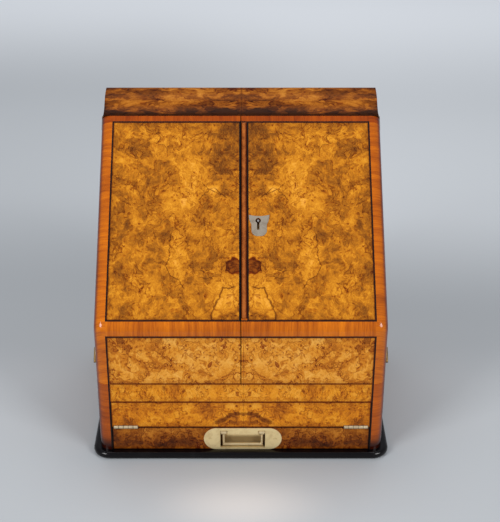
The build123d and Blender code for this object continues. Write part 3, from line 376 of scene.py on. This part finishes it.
# %% Eyes, knots and pores
def with_eyes(colour, sheet):
    """Small dark eyes with their rings, the knots and the pores; the eyes come back too, as a mask."""
    beds = stretched(sheet.curly, (3.2, 3.2, 50))
    seed_away = cells(beds)
    chosen = rise(split(cells(beds, 1))[0], 0.7, 0.8)
    eyes = rise(seed_away, 0.3, 0.1) * chosen
    rings = rise(seed_away, 0.6, 0.38) * chosen
    colour = multiplied(colour, shade(206, 160, 110), rings * 0.5)
    colour = multiplied(colour, shade(128, 74, 42), eyes * 0.7)
    for knot in sheet.knots:
        colour = multiplied(colour, shade(196, 168, 178), rise(knot, 0.12, 0.4))
        colour = multiplied(colour, shade(176, 128, 96), contour(knot, 0.3, 0.16))
    colour = multiplied(colour, shade(196, 156, 112), rise(sheet.pores, 0.56, 0.7) * 0.6)
    return colour, eyes


# %% The burr as a finish
BURR_STOPS = (0.2, 0.37, 0.5, 0.64, 0.84)
SLOPE_TONES = ((88, 46, 14), (142, 83, 18), (182, 112, 22), (210, 140, 34), (228, 162, 66))


def burr(
    name, lean, seed, rim, tones, clouds=(), knots=(), cracks=(), lift=0.0, size=1.0, contrast=1.0,
    middle=MIDDLE, wide=1.0, curl=1.0, gloss=0.22, joint=0.0,
):
    """Burr veneer, book-matched about the middle, with painted shade along its rim and a polish over it."""
    finish, place = new_finish(name)
    sheet = Burr(panel_place(place, lean, seed, middle, wide), size, clouds, knots)
    colour = tinted(sheet.tone(contrast, lift, curl), BURR_STOPS, tones)
    colour, eyes = with_eyes(with_lines(colour, sheet, curl, cracks), sheet)
    # Painted shade along the panel's rim, where it meets the stringing.
    shade_and_joints = near_rim(place, lean, rim, 1.6) * 0.75 + near_rim(place, lean, rim, 9.0) * 0.22
    colour = multiplied(colour, SEAM_AND_RIM_SHADE, shade_and_joints * (0.6 + 0.8 * sheet.cloud))
    # joint adds deeper painted shade along the rim.
    if joint:
        colour = multiplied(colour, shade(48, 28, 22), near_rim(place, lean, rim, 1.7) * joint)
    rough = 0.3 + 0.12 * sheet.pores + 0.08 * noise(stretched(sheet.panel, (60, 60, 60)), 2)
    relief = sheet.fine * 0.5 + sheet.pores * 0.5 - eyes * 0.6
    varying = {"Base Color": colour, "Roughness": rough, "Normal": bumped(relief, 0.05, 0.4)}
    return fill_shader(
        finish, varying, {"Coat Weight": gloss, "Coat Roughness": 0.07, "Specular IOR Level": 0.04}
    )


# %% [markdown]
# ## Straight-grained walnut
# Cross-banding, mouldings and the carcass are cut along the trunk, so their grain runs one way. Noise that is
# stretched more than twenty times as long as it is wide gives that grain, with finer lines of the same kind
# for the pores and a slow round cloud for the board's own colour.


# %% Straight-grained wood
WALNUT_TONES = ((84, 42, 16), (132, 72, 28), (172, 100, 40), (204, 132, 58))
WOOD_STOPS = (0.3, 0.45, 0.6, 0.78)
GRAIN_W, GRAIN_L = 5.0, 120.0


def grained(place, along, seed):
    """Grain that runs along one axis of a place, as a tone value and its fine lines."""
    size = [GRAIN_W] * 3
    size["xyz".index(along)] = GRAIN_L
    drift = pushed(place, 3.0, 40.0)
    from_seed = {0: drift, 1: (seed, seed * 2, seed * 3)}
    shifted = drift.node("ShaderNodeVectorMath", {"operation": "ADD"}, from_seed)
    bands = noise(stretched(shifted, tuple(size)), 4, 0.6)
    lines = noise(stretched(shifted, tuple(s / 8 for s in size)), 3, 0.6)
    cloud = noise(stretched(shifted, (70, 70, 70)), 2)
    return 0.4 * bands + 0.34 * lines + 0.36 * cloud - 0.05, lines


def wood(name, along, seed, tones=WALNUT_TONES, rough=0.35, coat=0.12, bead=None):
    """A straight-grained wood; a bead gets painted shade down both its flanks."""
    finish, place = new_finish(name)
    value, lines = grained(place, along, seed)
    pores = rise(lines, 0.6, 0.72)
    colour = multiplied(tinted(value, WOOD_STOPS, tones), shade(150, 110, 80), pores * 0.6)
    if bead:
        crown, start, full = bead
        # Painted shade down both flanks of the bead's round.
        colour = multiplied(colour, shade(118, 70, 58), rise(abs(split(place)[0] - crown), start, full))
    relief = bumped(1 - pores, 0.05, 0.5)
    varying = {"Base Color": colour, "Roughness": rough + 0.15 * lines, "Normal": relief}
    return fill_shader(
        finish, varying, {"Coat Weight": coat, "Coat Roughness": 0.1, "Specular IOR Level": 0.08}
    )


print("grain", GRAIN_W, "by", GRAIN_L, "mm")

# %% [markdown]
# ## Cross-banding on the doors and stiles
# Round the burr panels runs a border of veneer with its grain square to the edge. On the knee and along the
# top the grain climbs, and down the rounded sides it wraps round the corner. One finish holds both, and the
# distance from the middle of the box says which is shown. Behind the veneer, a door is a plain board, which
# shows when it stands open: a point belongs to the board when it lies well behind every outer face.


# %% Cross-banded walnut
BAND_TONES = ((112, 48, 4), (166, 80, 4), (202, 108, 6), (224, 134, 14))
STILE_TONES = ((92, 32, 0), (140, 60, 0), (176, 84, 2), (206, 112, 6))
BOARD_TONES = ((70, 36, 16), (104, 60, 28), (134, 82, 40), (160, 104, 56))
TOP_BAND = (256.6, 257.2)  # up the slope, the string under the top band, above which the band gets painted shade
CORNER = (162.5, 166.5)  # out from the middle, the part of a corner that turns away, where painted shade darkens it
BOARD_DEPTH = 4.6  # more than the roundings take from any outer face


def behind_faces(x, y, z):
    """How far a point lies behind the nearest of the outer planes: slope, upright front and side."""
    behind_slope = (y - FRONT_Y) * sin(LEAN) - (z - KNEE_Z) * cos(LEAN)
    return least(behind_slope, y - FRONT_Y, HALF_W - abs(x))


def crossbanded(name, lean, side_from, tones, foot=None, board=None):
    """Bands whose grain climbs in the middle and runs across beyond side_from, over a board."""
    finish, place = new_finish(name)
    x, y, z = split(place)
    up = height_up(y, z, lean)
    flat = joined(x, up, 0.0)
    climbing, climbing_lines = grained(flat, "y", 3.0)
    crossing, crossing_lines = grained(flat, "x", 8.0)
    side = rise(abs(x), side_from - 0.4, side_from + 0.4)
    value = side * crossing + (1 - side) * climbing
    lines = side * crossing_lines + (1 - side) * climbing_lines
    pores = rise(lines, 0.6, 0.72)
    colour = multiplied(tinted(value, WOOD_STOPS, tones), shade(160, 110, 76), pores * 0.5)
    # Painted shade: the top band is made darker and redder.
    colour = multiplied(colour, shade(206, 176, 90), rise(up, *TOP_BAND))
    # Painted shade where the rounded corners turn away.
    colour = multiplied(colour, shade(132, 76, 50), rise(abs(x), *CORNER) * 0.9)
    if foot:
        colour = multiplied(colour, shade(78, 56, 50), rise(up, foot + 10, foot - 8))
    if board:
        inner = tinted(grained(flat, "y", 6.0)[0], WOOD_STOPS, board)
        colour = laid(colour, inner, rise(behind_faces(x, y, z), BOARD_DEPTH, BOARD_DEPTH + 0.5))
    relief = bumped(1 - pores, 0.04, 0.4)
    varying = {"Base Color": colour, "Roughness": 0.26 + 0.15 * lines, "Normal": relief}
    return fill_shader(
        finish, varying, {"Coat Weight": 0.65, "Coat Roughness": 0.1, "Specular IOR Level": 0.03}
    )


# %% [markdown]
# ## Metals, ebonised wood, glass and leather
# Each is a small sum of the same kind. Brass that is handled goes pale and satin, and painted shade darkens its
# hollows.
# Ebonised wood is stained black, so its grain shows only in the gloss. The leather of a writing slope has a
# fine pebble and is paler in slow patches.


# %% Metals
def metal(name, colour, dark, rough, wear=0.5, metallic=0.92, shade_and_joints=None):
    """A satin metal, faintly brushed, with tarnish and an uneven gloss; a mask, when given, lays a darker brown:
    painted shade in the handle's recess, darker screw slots, dark joints between hinge knuckles.
    """
    finish, place = new_finish(name)
    brushed = noise(stretched(place, (9, 0.35, 0.35)), 3, 0.6)
    patch = noise(stretched(place, (14, 14, 14)), 4, 0.65, 0.5)
    specks = rise(noise(stretched(place, (1.1, 1.1, 1.1)), 2), 0.66, 0.74)
    tarnish = wear * rise(patch, 0.42, 0.7) + 0.12 * brushed + 0.35 * specks
    blend = laid(shade(*colour), shade(*dark), tarnish)
    if shade_and_joints:
        # A darker brown where the mask is set: painted shade in the handle's recess, darker screw slots, dark
        # joints of the knuckles.
        blend = multiplied(blend, shade(84, 62, 42), shade_and_joints(*split(place)))
    gloss = rough + 0.14 * patch + 0.08 * brushed
    varying = {"Base Color": blend, "Roughness": gloss, "Normal": bumped(brushed, 0.01, 0.3)}
    return fill_shader(finish, varying, {"Metallic": metallic})


# %% Ebonised wood and ebony
WORN_PALER = 14  # of 255


def black_wood(name, colour, rough, coat):
    """A black wood whose grain and wear show only faintly."""
    finish, place = new_finish(name)
    value, lines = grained(place, "x", 5.0)
    worn = rise(noise(stretched(place, (16, 16, 16)), 4, 0.6), 0.55, 0.75)
    paler = shade(*(channel + WORN_PALER for channel in colour))
    tone = laid(shade(*colour), paler, worn * 0.6 + 0.2 * lines)
    varying = {"Base Color": tone, "Roughness": rough + 0.1 * value, "Normal": bumped(lines, 0.03, 0.3)}
    return fill_shader(
        finish, varying, {"Coat Weight": coat, "Coat Roughness": 0.12, "Specular IOR Level": 0.12}
    )


# %% Glass and leather
def clear_glass(name):
    """Old glass, almost clear, with a slow ripple in its gloss."""
    finish, place = new_finish(name)
    ripple = noise(stretched(place, (18, 18, 18)), 2)
    clear = {"Base Color": shade(232, 242, 236), "Transmission Weight": 1.0, "IOR": 1.5}
    return fill_shader(finish, {"Roughness": 0.02 + 0.03 * ripple}, clear)


def pebbled_leather(name):
    """Green leather with a pebbled grain, paler in slow patches."""
    finish, place = new_finish(name)
    pebble = cells(stretched(place, (0.9, 0.9, 4)))
    patch = noise(stretched(place, (60, 60, 60)), 3)
    colour = laid(shade(38, 62, 44), shade(66, 88, 58), rise(patch, 0.4, 0.7))
    colour = multiplied(colour, shade(170, 170, 160), rise(pebble, 0.35, 0.6) * 0.6)
    relief = bumped(1 - pebble, 0.12, 0.6)
    varying = {"Base Color": colour, "Roughness": 0.5 + 0.2 * pebble, "Normal": relief}
    return fill_shader(finish, varying, {})


# %% [markdown]
# ## Giving each part its finish
# The CAD parts keep their shapes, and only what fills their material slots changes. The big panels each get a
# burr of their own, because the real ones come from different parts of the tree: the lid is darker, and the
# lowest leaf of the writing slope is browner. A cloud is given by its place on the panel, its half
# sizes in millimetres and its strength, of which a negative one is a dark cloud.


# %% The burr on the doors
def give(finish, *names):
    """Puts a finish on every material slot of some CAD parts."""
    for name in names:
        for slot in nodes[name].material_slots:
            slot.material = finish
    print(finish.name, len(names))


# Each rim is the veneer's half width, then its foot and its top as distances up the panel from the knee.
SLOPE_RIM, FRONT_RIM = (152.1, 10.1, 256.9), (152.1, -74.0, -11.7)
FRONT_TONES = ((92, 44, 14), (148, 82, 20), (188, 111, 26), (214, 141, 42), (230, 168, 76))

slope_burr = burr(
    "slope_burr",
    LEAN,
    4.0,
    SLOPE_RIM,
    SLOPE_TONES,
    clouds=(
        (76, 172, 32, 52, 0.17),
        (76, 98, 16, 38, 0.15),
        (66, 232, 26, 22, 0.07),
        (18, 108, 18, 34, 0.14),
        (20, 36, 24, 34, 0.15),
        (78, 36, 28, 26, 0.08),
        (26, 214, 30, 46, -0.14),
        (6, 246, 22, 26, -0.2),
        (48, 146, 26, 28, -0.1),
        (126, 222, 20, 22, -0.2),
        (118, 196, 16, 22, -0.1),
        (136, 120, 24, 90, -0.04),
        (50, 78, 24, 18, -0.06),
        (33, 168, 15, 8, 0.14),
        (134, 14, 24, 22, -0.08),
    ),
    knots=((11, 75, 7.0, 9.5),),
    cracks=(
        (((83, 121), (86, 100), (85, 88), (88, 74), (84, 64), (74, 57), (66, 47)), 0.8),
        (((9, 49), (24, 49), (29, 35), (34, 20), (37, 11)), 1.3),
        (((48, 178), (42, 170), (30, 166), (20, 160), (34, 172), (46, 166), (52, 156)), 0.8),
        (((106, 246), (98, 238), (104, 228), (94, 226), (90, 218)), 0.6),
        (((54, 70), (44, 68), (36, 72)), 0.6),
        (((52, 62), (42, 60), (33, 64)), 0.6),
    ),
    lift=-0.02,
    contrast=1.12,
    curl=0.7,
)
front_burr = burr(
    "front_burr",
    UPRIGHT,
    11.0,
    FRONT_RIM,
    FRONT_TONES,
    clouds=(
        (60, -36, 30, 14, 0.08),
        (110, -60, 40, 14, 0.08),
        (84, -30, 16, 10, -0.1),
        (130, -30, 24, 20, -0.05),
    ),
    knots=((40, -47, 2.0, 3.4),),
    lift=0.1,
    size=0.75,
)
give(slope_burr, "left_door_slope_burr", "right_door_slope_burr")
give(front_burr, "left_door_front_burr", "right_door_front_burr")

# %% The burr on the rail and the writing slope
RAIL_RIM, UPPER_RIM, LOWER_RIM = (152.1, -99.0, -74.3), (151.6, -134.3, -99.6), (151.6, -166.2, -134.7)
RAIL_TONES = ((92, 44, 12), (148, 80, 16), (192, 112, 20), (216, 138, 28), (230, 162, 56))
LEAF_TONES = ((56, 24, 6), (92, 44, 10), (124, 64, 12), (156, 90, 22), (184, 116, 36))

rail_burr = burr(
    "rail_burr",
    UPRIGHT,
    17.0,
    RAIL_RIM,
    RAIL_TONES,
    clouds=((68, -82, 24, 12, 0.14), (100, -88, 12, 20, -0.16), (135, -84, 20, 14, -0.1)),
    lift=0.13,
    size=0.66,
    wide=0.8,
    curl=0.8,
)
upper_leaf_burr = burr(
    "upper_leaf_burr",
    UPRIGHT,
    23.0,
    UPPER_RIM,
    RAIL_TONES,
    clouds=(
        (12, -127, 26, 11, -0.24),
        (10, -119, 16, 5, -0.2),
        (52, -128, 24, 9, 0.1),
        (122, -112, 26, 14, -0.1),
        (136, -128, 26, 12, -0.14),
    ),
    cracks=((((-8, -117), (4, -116), (13, -115), (17, -118), (19, -123), (27, -126), (34, -129)), 3.4),),
    lift=0.06,
    size=0.7,
    curl=0.75,
)
lower_leaf_burr = burr(
    "lower_leaf_burr",
    UPRIGHT,
    31.0,
    LOWER_RIM,
    LEAF_TONES,
    clouds=(
        (100, -158, 60, 15, -0.3),
        (145, -150, 22, 22, -0.16),
        (90, -138, 70, 9, 0.2),
        (30, -150, 40, 24, -0.12),
    ),
    lift=0.1,
    size=0.7,
    joint=0.95,
)
give(rail_burr, "front_rail_burr")
give(upper_leaf_burr, "writing_upper_burr")
give(lower_leaf_burr, "writing_lower_burr")

# %% The burr on the lid
LID_LEAN = radians(35)  # between level and upright, because the lid's veneer turns down its front
LID_RIM = (HALF_W, 0, 900)  # beyond the lid's front and back, so that the painted rim shade falls only on its ends
LID_TONES = ((48, 20, 2), (88, 42, 6), (128, 68, 12), (162, 96, 24), (190, 124, 44))

lid_burr = burr(
    "lid_burr",
    LID_LEAN,
    41.0,
    LID_RIM,
    LID_TONES,
    # The first cloud darkens the lid's ends; the second is painted shade, a dark band along the low part of the
    # lid's front.
    clouds=((70, 290, 9, 400, -0.14), (35, 266, 400, 17, -0.34)),
    size=0.7,
    contrast=1.05,
    middle=0.7,
    wide=2.4,
    gloss=0.0,
)
give(lid_burr, "lid_burr")

# %% The woods that show
STILE_BAND_FROM, DOOR_BAND_FROM = 100, 153  # out from the middle, where the grain turns across
STILE_FOOT = -154
BEAD = (3.4, 1.0, 3.2)  # a line along the bead, and how far from it the painted shade starts and is full
BEAD_TONES = ((76, 34, 10), (130, 66, 22), (174, 96, 36), (204, 126, 54))
LID_CORE_TONES = ((30, 12, 2), (56, 26, 6), (80, 38, 10), (104, 54, 20))

door_banding = crossbanded("door_banding", LEAN, DOOR_BAND_FROM, BAND_TONES, board=BOARD_TONES)
stile_banding = crossbanded("stile_banding", UPRIGHT, STILE_BAND_FROM, STILE_TONES, foot=STILE_FOOT)
give(door_banding, "left_door_core", "right_door_core")
give(stile_banding, "left_stile", "right_stile")
give(wood("bead_walnut", "y", 12.0, BEAD_TONES, bead=BEAD), "astragal_bead")
give(wood("side_walnut", "y", 7.0), "left_side", "right_side")
give(wood("back_walnut", "z", 9.0), "back_panel")
give(wood("rail_walnut", "x", 14.0), "front_rail")
give(wood("lid_walnut", "x", 15.0, LID_CORE_TONES, rough=0.4, coat=0.0), "lid_core")
give(wood("leaf_walnut", "x", 19.0), "writing_lower_leaf", "writing_upper_leaf", "writing_boards")
ebony_string = black_wood("ebony_string", (20, 11, 8), 0.35, 0.1)
give(ebony_string, "case_stringing", "left_door_stringing", "right_door_stringing")
give(black_wood("ebonised_moulding", (3, 1, 2), 0.2, 0.3), "base_moulding")

# %% The woods inside
PINE_TONES = ((142, 98, 58), (172, 126, 80), (194, 150, 102), (212, 172, 124))
INNER_TONES = ((108, 66, 36), (142, 92, 54), (170, 116, 72), (194, 142, 94))

by_slot = {}
for part in frame["record"]["subparts"]:
    by_slot.setdefault(part["material_slot"], []).append(part["node"])
print({slot: len(names) for slot, names in by_slot.items()})
give(wood("base_pine", "x", 21.0, PINE_TONES, rough=0.6, coat=0.0), *by_slot["secondary_wood"])
give(wood("inner_walnut", "x", 25.0, INNER_TONES, rough=0.42, coat=0.15), *by_slot["interior_wood"])

# %% Painted shade in the handle's recess, and darker slots and joints on the brass
HANDLE_X = 2.2  # the middle of the handle
RECESS_END = (23.2, 24.8)  # out from the handle's middle, where the painted shade starts and is full
KNUCKLE_START, KNUCKLE_L = 121.25, 5.7  # of the writing slope's hinges


def recess_painted_shade(x, y, z):
    """Painted shade in the lower part and the ends of the handle's recess."""
    ends = rise(abs(x - HANDLE_X), *RECESS_END) * rise(z, 31.0, 29.0)
    foot = rise(z, 25.0, 20.5) * 0.6
    return ends.maths("MAXIMUM", ends, foot) * rise(y, FRONT_Y + 0.8, FRONT_Y + 3.5)


def dark_slots(x, y, z):
    """A darker brown in the slots of the plate's screws, which start just behind the front."""
    return rise(y, FRONT_Y - 0.2, FRONT_Y + 0.05)


def knuckle_grime(x, y, z):
    """Dark joints between the knuckles of the writing slope's hinges."""
    step = (abs(x) - KNUCKLE_START) / KNUCKLE_L
    return rise(abs(step.maths("FRACT", step) - 0.5), 0.4, 0.5) * 0.8


# %% The metals, glass and leather
PALE_BRASS, BRASS_TARNISH = (254, 230, 172), (206, 168, 110)
HANDLE_PARTS = ("handle_plate", "handle_screws", "handle_bail", "handle_pin")

slope_hinges = [name for name in by_slot["brass"] if name.startswith("writing_hinge")]
other_brass = [name for name in by_slot["brass"] if name not in (*HANDLE_PARTS, *slope_hinges)]
hinge_brass = metal("hinge_brass", (150, 120, 76), (84, 60, 34), 0.34)
slope_hinge_brass = metal("slope_hinge_brass", (240, 220, 180), (130, 100, 62), 0.28, 0.4, 0.9, knuckle_grime)
give(metal("pale_brass", PALE_BRASS, BRASS_TARNISH, 0.3, 0.4, 0.75, recess_painted_shade), "handle_plate")
give(metal("screw_brass", PALE_BRASS, BRASS_TARNISH, 0.3, 0.5, 0.8, dark_slots), "handle_screws")
give(metal("bail_brass", (250, 226, 176), (180, 148, 104), 0.24, 0.35, 0.85), "handle_bail", "handle_pin")
give(slope_hinge_brass, *slope_hinges)
give(hinge_brass, *other_brass)
give(metal("nickel_shield", (184, 172, 154), (116, 100, 84), 0.3), *by_slot["nickel"])
give(metal("lock_steel", (176, 172, 168), (96, 88, 82), 0.3), *by_slot["steel"])
give(clear_glass("inkwell_glass"), *by_slot["glass"])
give(pebbled_leather("slope_leather"), *by_slot["leather"])

# %% [markdown]
# ## Hinge screws
# The real leaves are held by countersunk brass screws, which show when a door or the lid stands open. Their
# heads lie flush with the leaf, so that the hinge can close, and their slots catch the light. One head is a
# cone with its slot pushed in, and copies of it are set into each leaf by a matrix built from the hinge's
# axes. The lines that the hinges turn on come from the model's own joints.

# %% One countersunk head
HEAD_R, HEAD_FOOT_R, HEAD_T = 0.0013, 0.0008, 0.0006  # metres
HEAD_DOWN = 0.00026  # from the cone's middle to the leaf's face
SLOT_HALF_W, SLOT_DEPTH = 0.0002, 0.0003


def screw_head(into):
    """A mesh of a countersunk head, its face just proud of the leaf, carried to its place."""
    shell = bmesh.new()
    bmesh.ops.create_cone(
        shell, cap_ends=True, segments=24, radius1=HEAD_FOOT_R, radius2=HEAD_R, depth=HEAD_T
    )
    bmesh.ops.translate(shell, vec=(0, 0, -HEAD_DOWN), verts=shell.verts)
    for side in (-SLOT_HALF_W, SLOT_HALF_W):
        whole = [*shell.faces, *shell.edges, *shell.verts]
        bmesh.ops.bisect_plane(shell, geom=whole, plane_co=(0, side, 0), plane_no=(0, 1, 0))
    slot = [f for f in shell.faces if f.normal.z > 0.9 and abs(f.calc_center_median().y) < SLOT_HALF_W / 2]
    pushed_in = bmesh.ops.extrude_face_region(shell, geom=slot)["geom"]
    floor_verts = [g for g in pushed_in if isinstance(g, bmesh.types.BMVert)]
    bmesh.ops.translate(shell, vec=(0, 0, -SLOT_DEPTH), verts=floor_verts)
    bmesh.ops.delete(shell, geom=slot, context="FACES_ONLY")
    bmesh.ops.transform(shell, matrix=into, verts=shell.verts)
    head = bpy.data.meshes.new("one_screw")
    shell.to_mesh(head)
    shell.free()
    return head


# %% A piece, and a set of heads as one piece
def add_piece(name, shell, body):
    """A finished bmesh as an object at the origin, riding on a body."""
    mesh = bpy.data.meshes.new(name)
    shell.to_mesh(mesh)
    shell.free()
    piece = bpy.data.objects.new(name, mesh)
    bpy.context.scene.collection.objects.link(piece)
    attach(piece, body)
    print(name, len(mesh.polygons))
    return piece


def screws(name, body, places):
    """One piece with a head at each place; a place is a matrix whose z axis leaves the leaf's face."""
    shell = bmesh.new()
    for into in places:
        head = screw_head(into)
        shell.from_mesh(head)
        bpy.data.meshes.remove(head)
    bmesh.ops.recalc_face_normals(shell, faces=shell.faces)
    piece = add_piece(name, shell, body)
    piece.data.materials.append(hinge_brass)


def axes(origin, x_axis, z_axis):
    """A matrix from an origin in millimetres and two unit axes."""
    x_axis, z_axis = Vector(x_axis), Vector(z_axis)
    y_axis = z_axis.cross(x_axis)
    turn = Matrix((x_axis, y_axis, z_axis)).transposed().to_4x4()
    return Matrix.Translation(Vector(origin) / 1000) @ turn


# %% Screws in the lid's hinges
LID_HINGE_X, LID_SCREWS, LID_SCREW_IN = 105, (-9.0, 0.0, 9.0), 4.7
OFF_LEAF = 0.05  # from the middle of the gap between two leaves to each one's face
joints = {joint["name"]: joint for joint in frame["joints"]}

_, line_y, line_z = Vector(joints["lid_hinge"]["pos_m"]) * 1000
lid_places, case_places = [], []
for middle in (-LID_HINGE_X, LID_HINGE_X):
    for along in LID_SCREWS:
        x, y = middle + along, line_y - LID_SCREW_IN
        lid_places.append(axes((x, y, line_z + OFF_LEAF), (1, 0, 0), (0, 0, -1)))
        case_places.append(axes((x, y, line_z - OFF_LEAF), (1, 0, 0), (0, 0, 1)))
screws("lid_hinge_screws", "lid", lid_places)

# %% Screws in the doors' hinges
DOOR_HINGE_TOPS = (19.0, 308.11)  # the upper end of each hinge, up the line from its lower end
DOOR_SCREWS, DOOR_SCREW_IN = (4.5, 13.5), 4.6

for side, name in ((-1, "left_door"), (1, "right_door")):
    pivot = Vector(joints[name + "_hinge"]["pos_m"]) * 1000
    up_line = side * Vector(joints[name + "_hinge"]["axis"])
    off_leaf = Vector((0, -up_line.z, up_line.y))
    inward = Vector((-side * DOOR_SCREW_IN, 0, 0))
    door_places = []
    for top in DOOR_HINGE_TOPS:
        for down in DOOR_SCREWS:
            middle = pivot + (top - down) * up_line + inward
            door_places.append(axes(middle + OFF_LEAF * off_leaf, (1, 0, 0), -off_leaf))
            case_places.append(axes(middle - OFF_LEAF * off_leaf, (1, 0, 0), off_leaf))
    screws(name + "_hinge_screws", name, door_places)
screws("case_hinge_screws", "case", case_places)

# %% [markdown]
# ## Ink in the wells
# The glass wells stand empty in the CAD model, because ink isn't a part. Dark ink in each shows what they
# are for, and gives the clear glass something to bend the light round. Its shape is a short turned body with
# a raised rim where the ink climbs the glass, made by spinning half of its outline round the well's axis.

# %% Ink
# The radius and height of each corner of half the ink's outline, in millimetres.
HALF_OUTLINE = ((0, 95.6), (10.2, 95.6), (10.4, 96.0), (10.4, 110.0), (10.0, 109.4), (8.6, 109.1), (0, 109.0))

ink, place = new_finish("blue_black_ink")
swirling = noise(stretched(place, (6, 6, 6)), 3, 0.6, 0.8)
ink_colour = laid(shade(10, 12, 26), shade(24, 28, 52), rise(swirling, 0.4, 0.7))
fill_shader(ink, {"Base Color": ink_colour, "Roughness": 0.05 + 0.1 * swirling}, {"Specular IOR Level": 0.5})
for side in ("left", "right"):
    low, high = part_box(side + "_inkwell_glass")
    middle = Vector(((low.x + high.x) / 2, (low.y + high.y) / 2, 0))
    shell = bmesh.new()
    points = [middle + Vector((radius, 0, height)) / 1000 for radius, height in HALF_OUTLINE]
    corners = [shell.verts.new(point) for point in points]
    outline = [shell.edges.new(pair) for pair in zip(corners, corners[1:])]
    bmesh.ops.spin(
        shell, geom=corners + outline, cent=middle, axis=(0, 0, 1), angle=radians(360), steps=48,
        use_merge=True,
    )
    bmesh.ops.remove_doubles(shell, verts=shell.verts, dist=1e-6)
    bmesh.ops.recalc_face_normals(shell, faces=shell.faces)
    piece = add_piece(side + "_ink", shell, "case")
    piece.data.materials.append(ink)
    for face in piece.data.polygons:
        face.use_smooth = True

# %% [markdown]
# ## The studio
# The box stands on a plain pale floor that runs far behind it, because the camera looks down and never meets
# a wall. The floor is a single flat mesh with a diffuse finish, so the box throws real soft shadows on it.
# Its colour holds painted light and shade: a few greys that melt into each other from front to back, a
# little sooner on the right, with a painted shadow just behind the box, paler painted light further back and
# at the far end, and a painted reflection in front of the box.


# %% Tones of the floor
def grey(value):
    """A grey of the paper, slightly cool."""
    return shade(value - 4, value, value + 3)


# NEAR is the paper's own grey. The rest are painted: a painted shadow just behind the box, and painted light in a
# paler band, paler still on the right, and at the far end.
NEAR, SHADOW_BEHIND, LEFT_LIGHT_BAND, RIGHT_LIGHT_BAND, FAR_LIGHT = grey(176), grey(167), grey(188), grey(203), grey(252)
# How far behind the box's middle each tone starts and is full, in millimetres.
BEHIND_FROM, PALE_FROM, FAR_FROM = (20, 150), (280, 650), (1100, 1950)
PALE_SOONER = 80  # mm by which the painted light comes sooner on the right
PAINTED_GLEAM = (0, -215, 120, 70)  # a painted reflection in front of the box: its middle and its half sizes

paper, place = new_finish("pale_paper")
across, depth = split(place)[:2]
right = rise(across, -260, 260)
away = depth + PALE_SOONER * right
# Painted shadow behind the box, painted light further back, and a painted reflection in front.
colour = laid(NEAR, SHADOW_BEHIND, rise(depth, *BEHIND_FROM))
colour = laid(colour, laid(LEFT_LIGHT_BAND, RIGHT_LIGHT_BAND, right), rise(away, *PALE_FROM))
colour = laid(colour, FAR_LIGHT, rise(away, *FAR_FROM))
colour = laid(colour, shade(208, 206, 203), spot(place, *PAINTED_GLEAM) * 0.75)
fill_shader(paper, {"Base Color": colour}, {"Roughness": 0.9, "Specular IOR Level": 0.1})

# %% Floor
FLOOR_HALF_W = 4  # metres

sheet = bmesh.new()
bmesh.ops.create_grid(sheet, x_segments=8, y_segments=8, size=FLOOR_HALF_W)
floor_mesh = bpy.data.meshes.new("studio_floor")
sheet.to_mesh(floor_mesh)
sheet.free()
floor = bpy.data.objects.new("studio_floor", floor_mesh)
bpy.context.scene.collection.objects.link(floor)
floor.data.materials.append(paper)

# %% World and lamps
world = bpy.data.worlds.new("studio_world")
bpy.context.scene.world = world
world.use_nodes = True
sky = world.node_tree.nodes["Background"].inputs
sky["Color"].default_value = shade(240, 244, 255)
sky["Strength"].default_value = 0.35


def softbox(name, place, aim, size, watts):
    """A square lamp that faces a point."""
    lamp = bpy.data.lights.new(name, "AREA")
    lamp.shape = "SQUARE"
    lamp.size = size
    lamp.energy = watts
    holder = bpy.data.objects.new(name, lamp)
    holder.location = place
    holder.rotation_euler = (Vector(aim) - Vector(place)).to_track_quat("-Z", "Y").to_euler()
    bpy.context.scene.collection.objects.link(holder)


softbox("left_box", place=(-1.7, -1.7, 1.5), aim=(0, 0, 0.15), size=1.0, watts=42)
softbox("right_box", place=(1.7, -1.7, 1.5), aim=(0, 0, 0.15), size=1.0, watts=38)
softbox("top_box", place=(0, 0.6, 2.3), aim=(0, 0, 0.1), size=1.4, watts=24)

# %% Camera
lens = bpy.data.cameras.new("studio_camera")
lens.sensor_fit = "HORIZONTAL"
lens.sensor_width = 36
lens.lens = 88.56
lens.shift_x = 0.0182
camera = bpy.data.objects.new("studio_camera", lens)
camera.location = (0, -1.318, 0.8865)
camera.rotation_euler = (radians(62.4), 0, 0)
bpy.context.scene.collection.objects.link(camera)
bpy.context.scene.camera = camera
bpy.context.scene.view_settings.view_transform = "Standard"
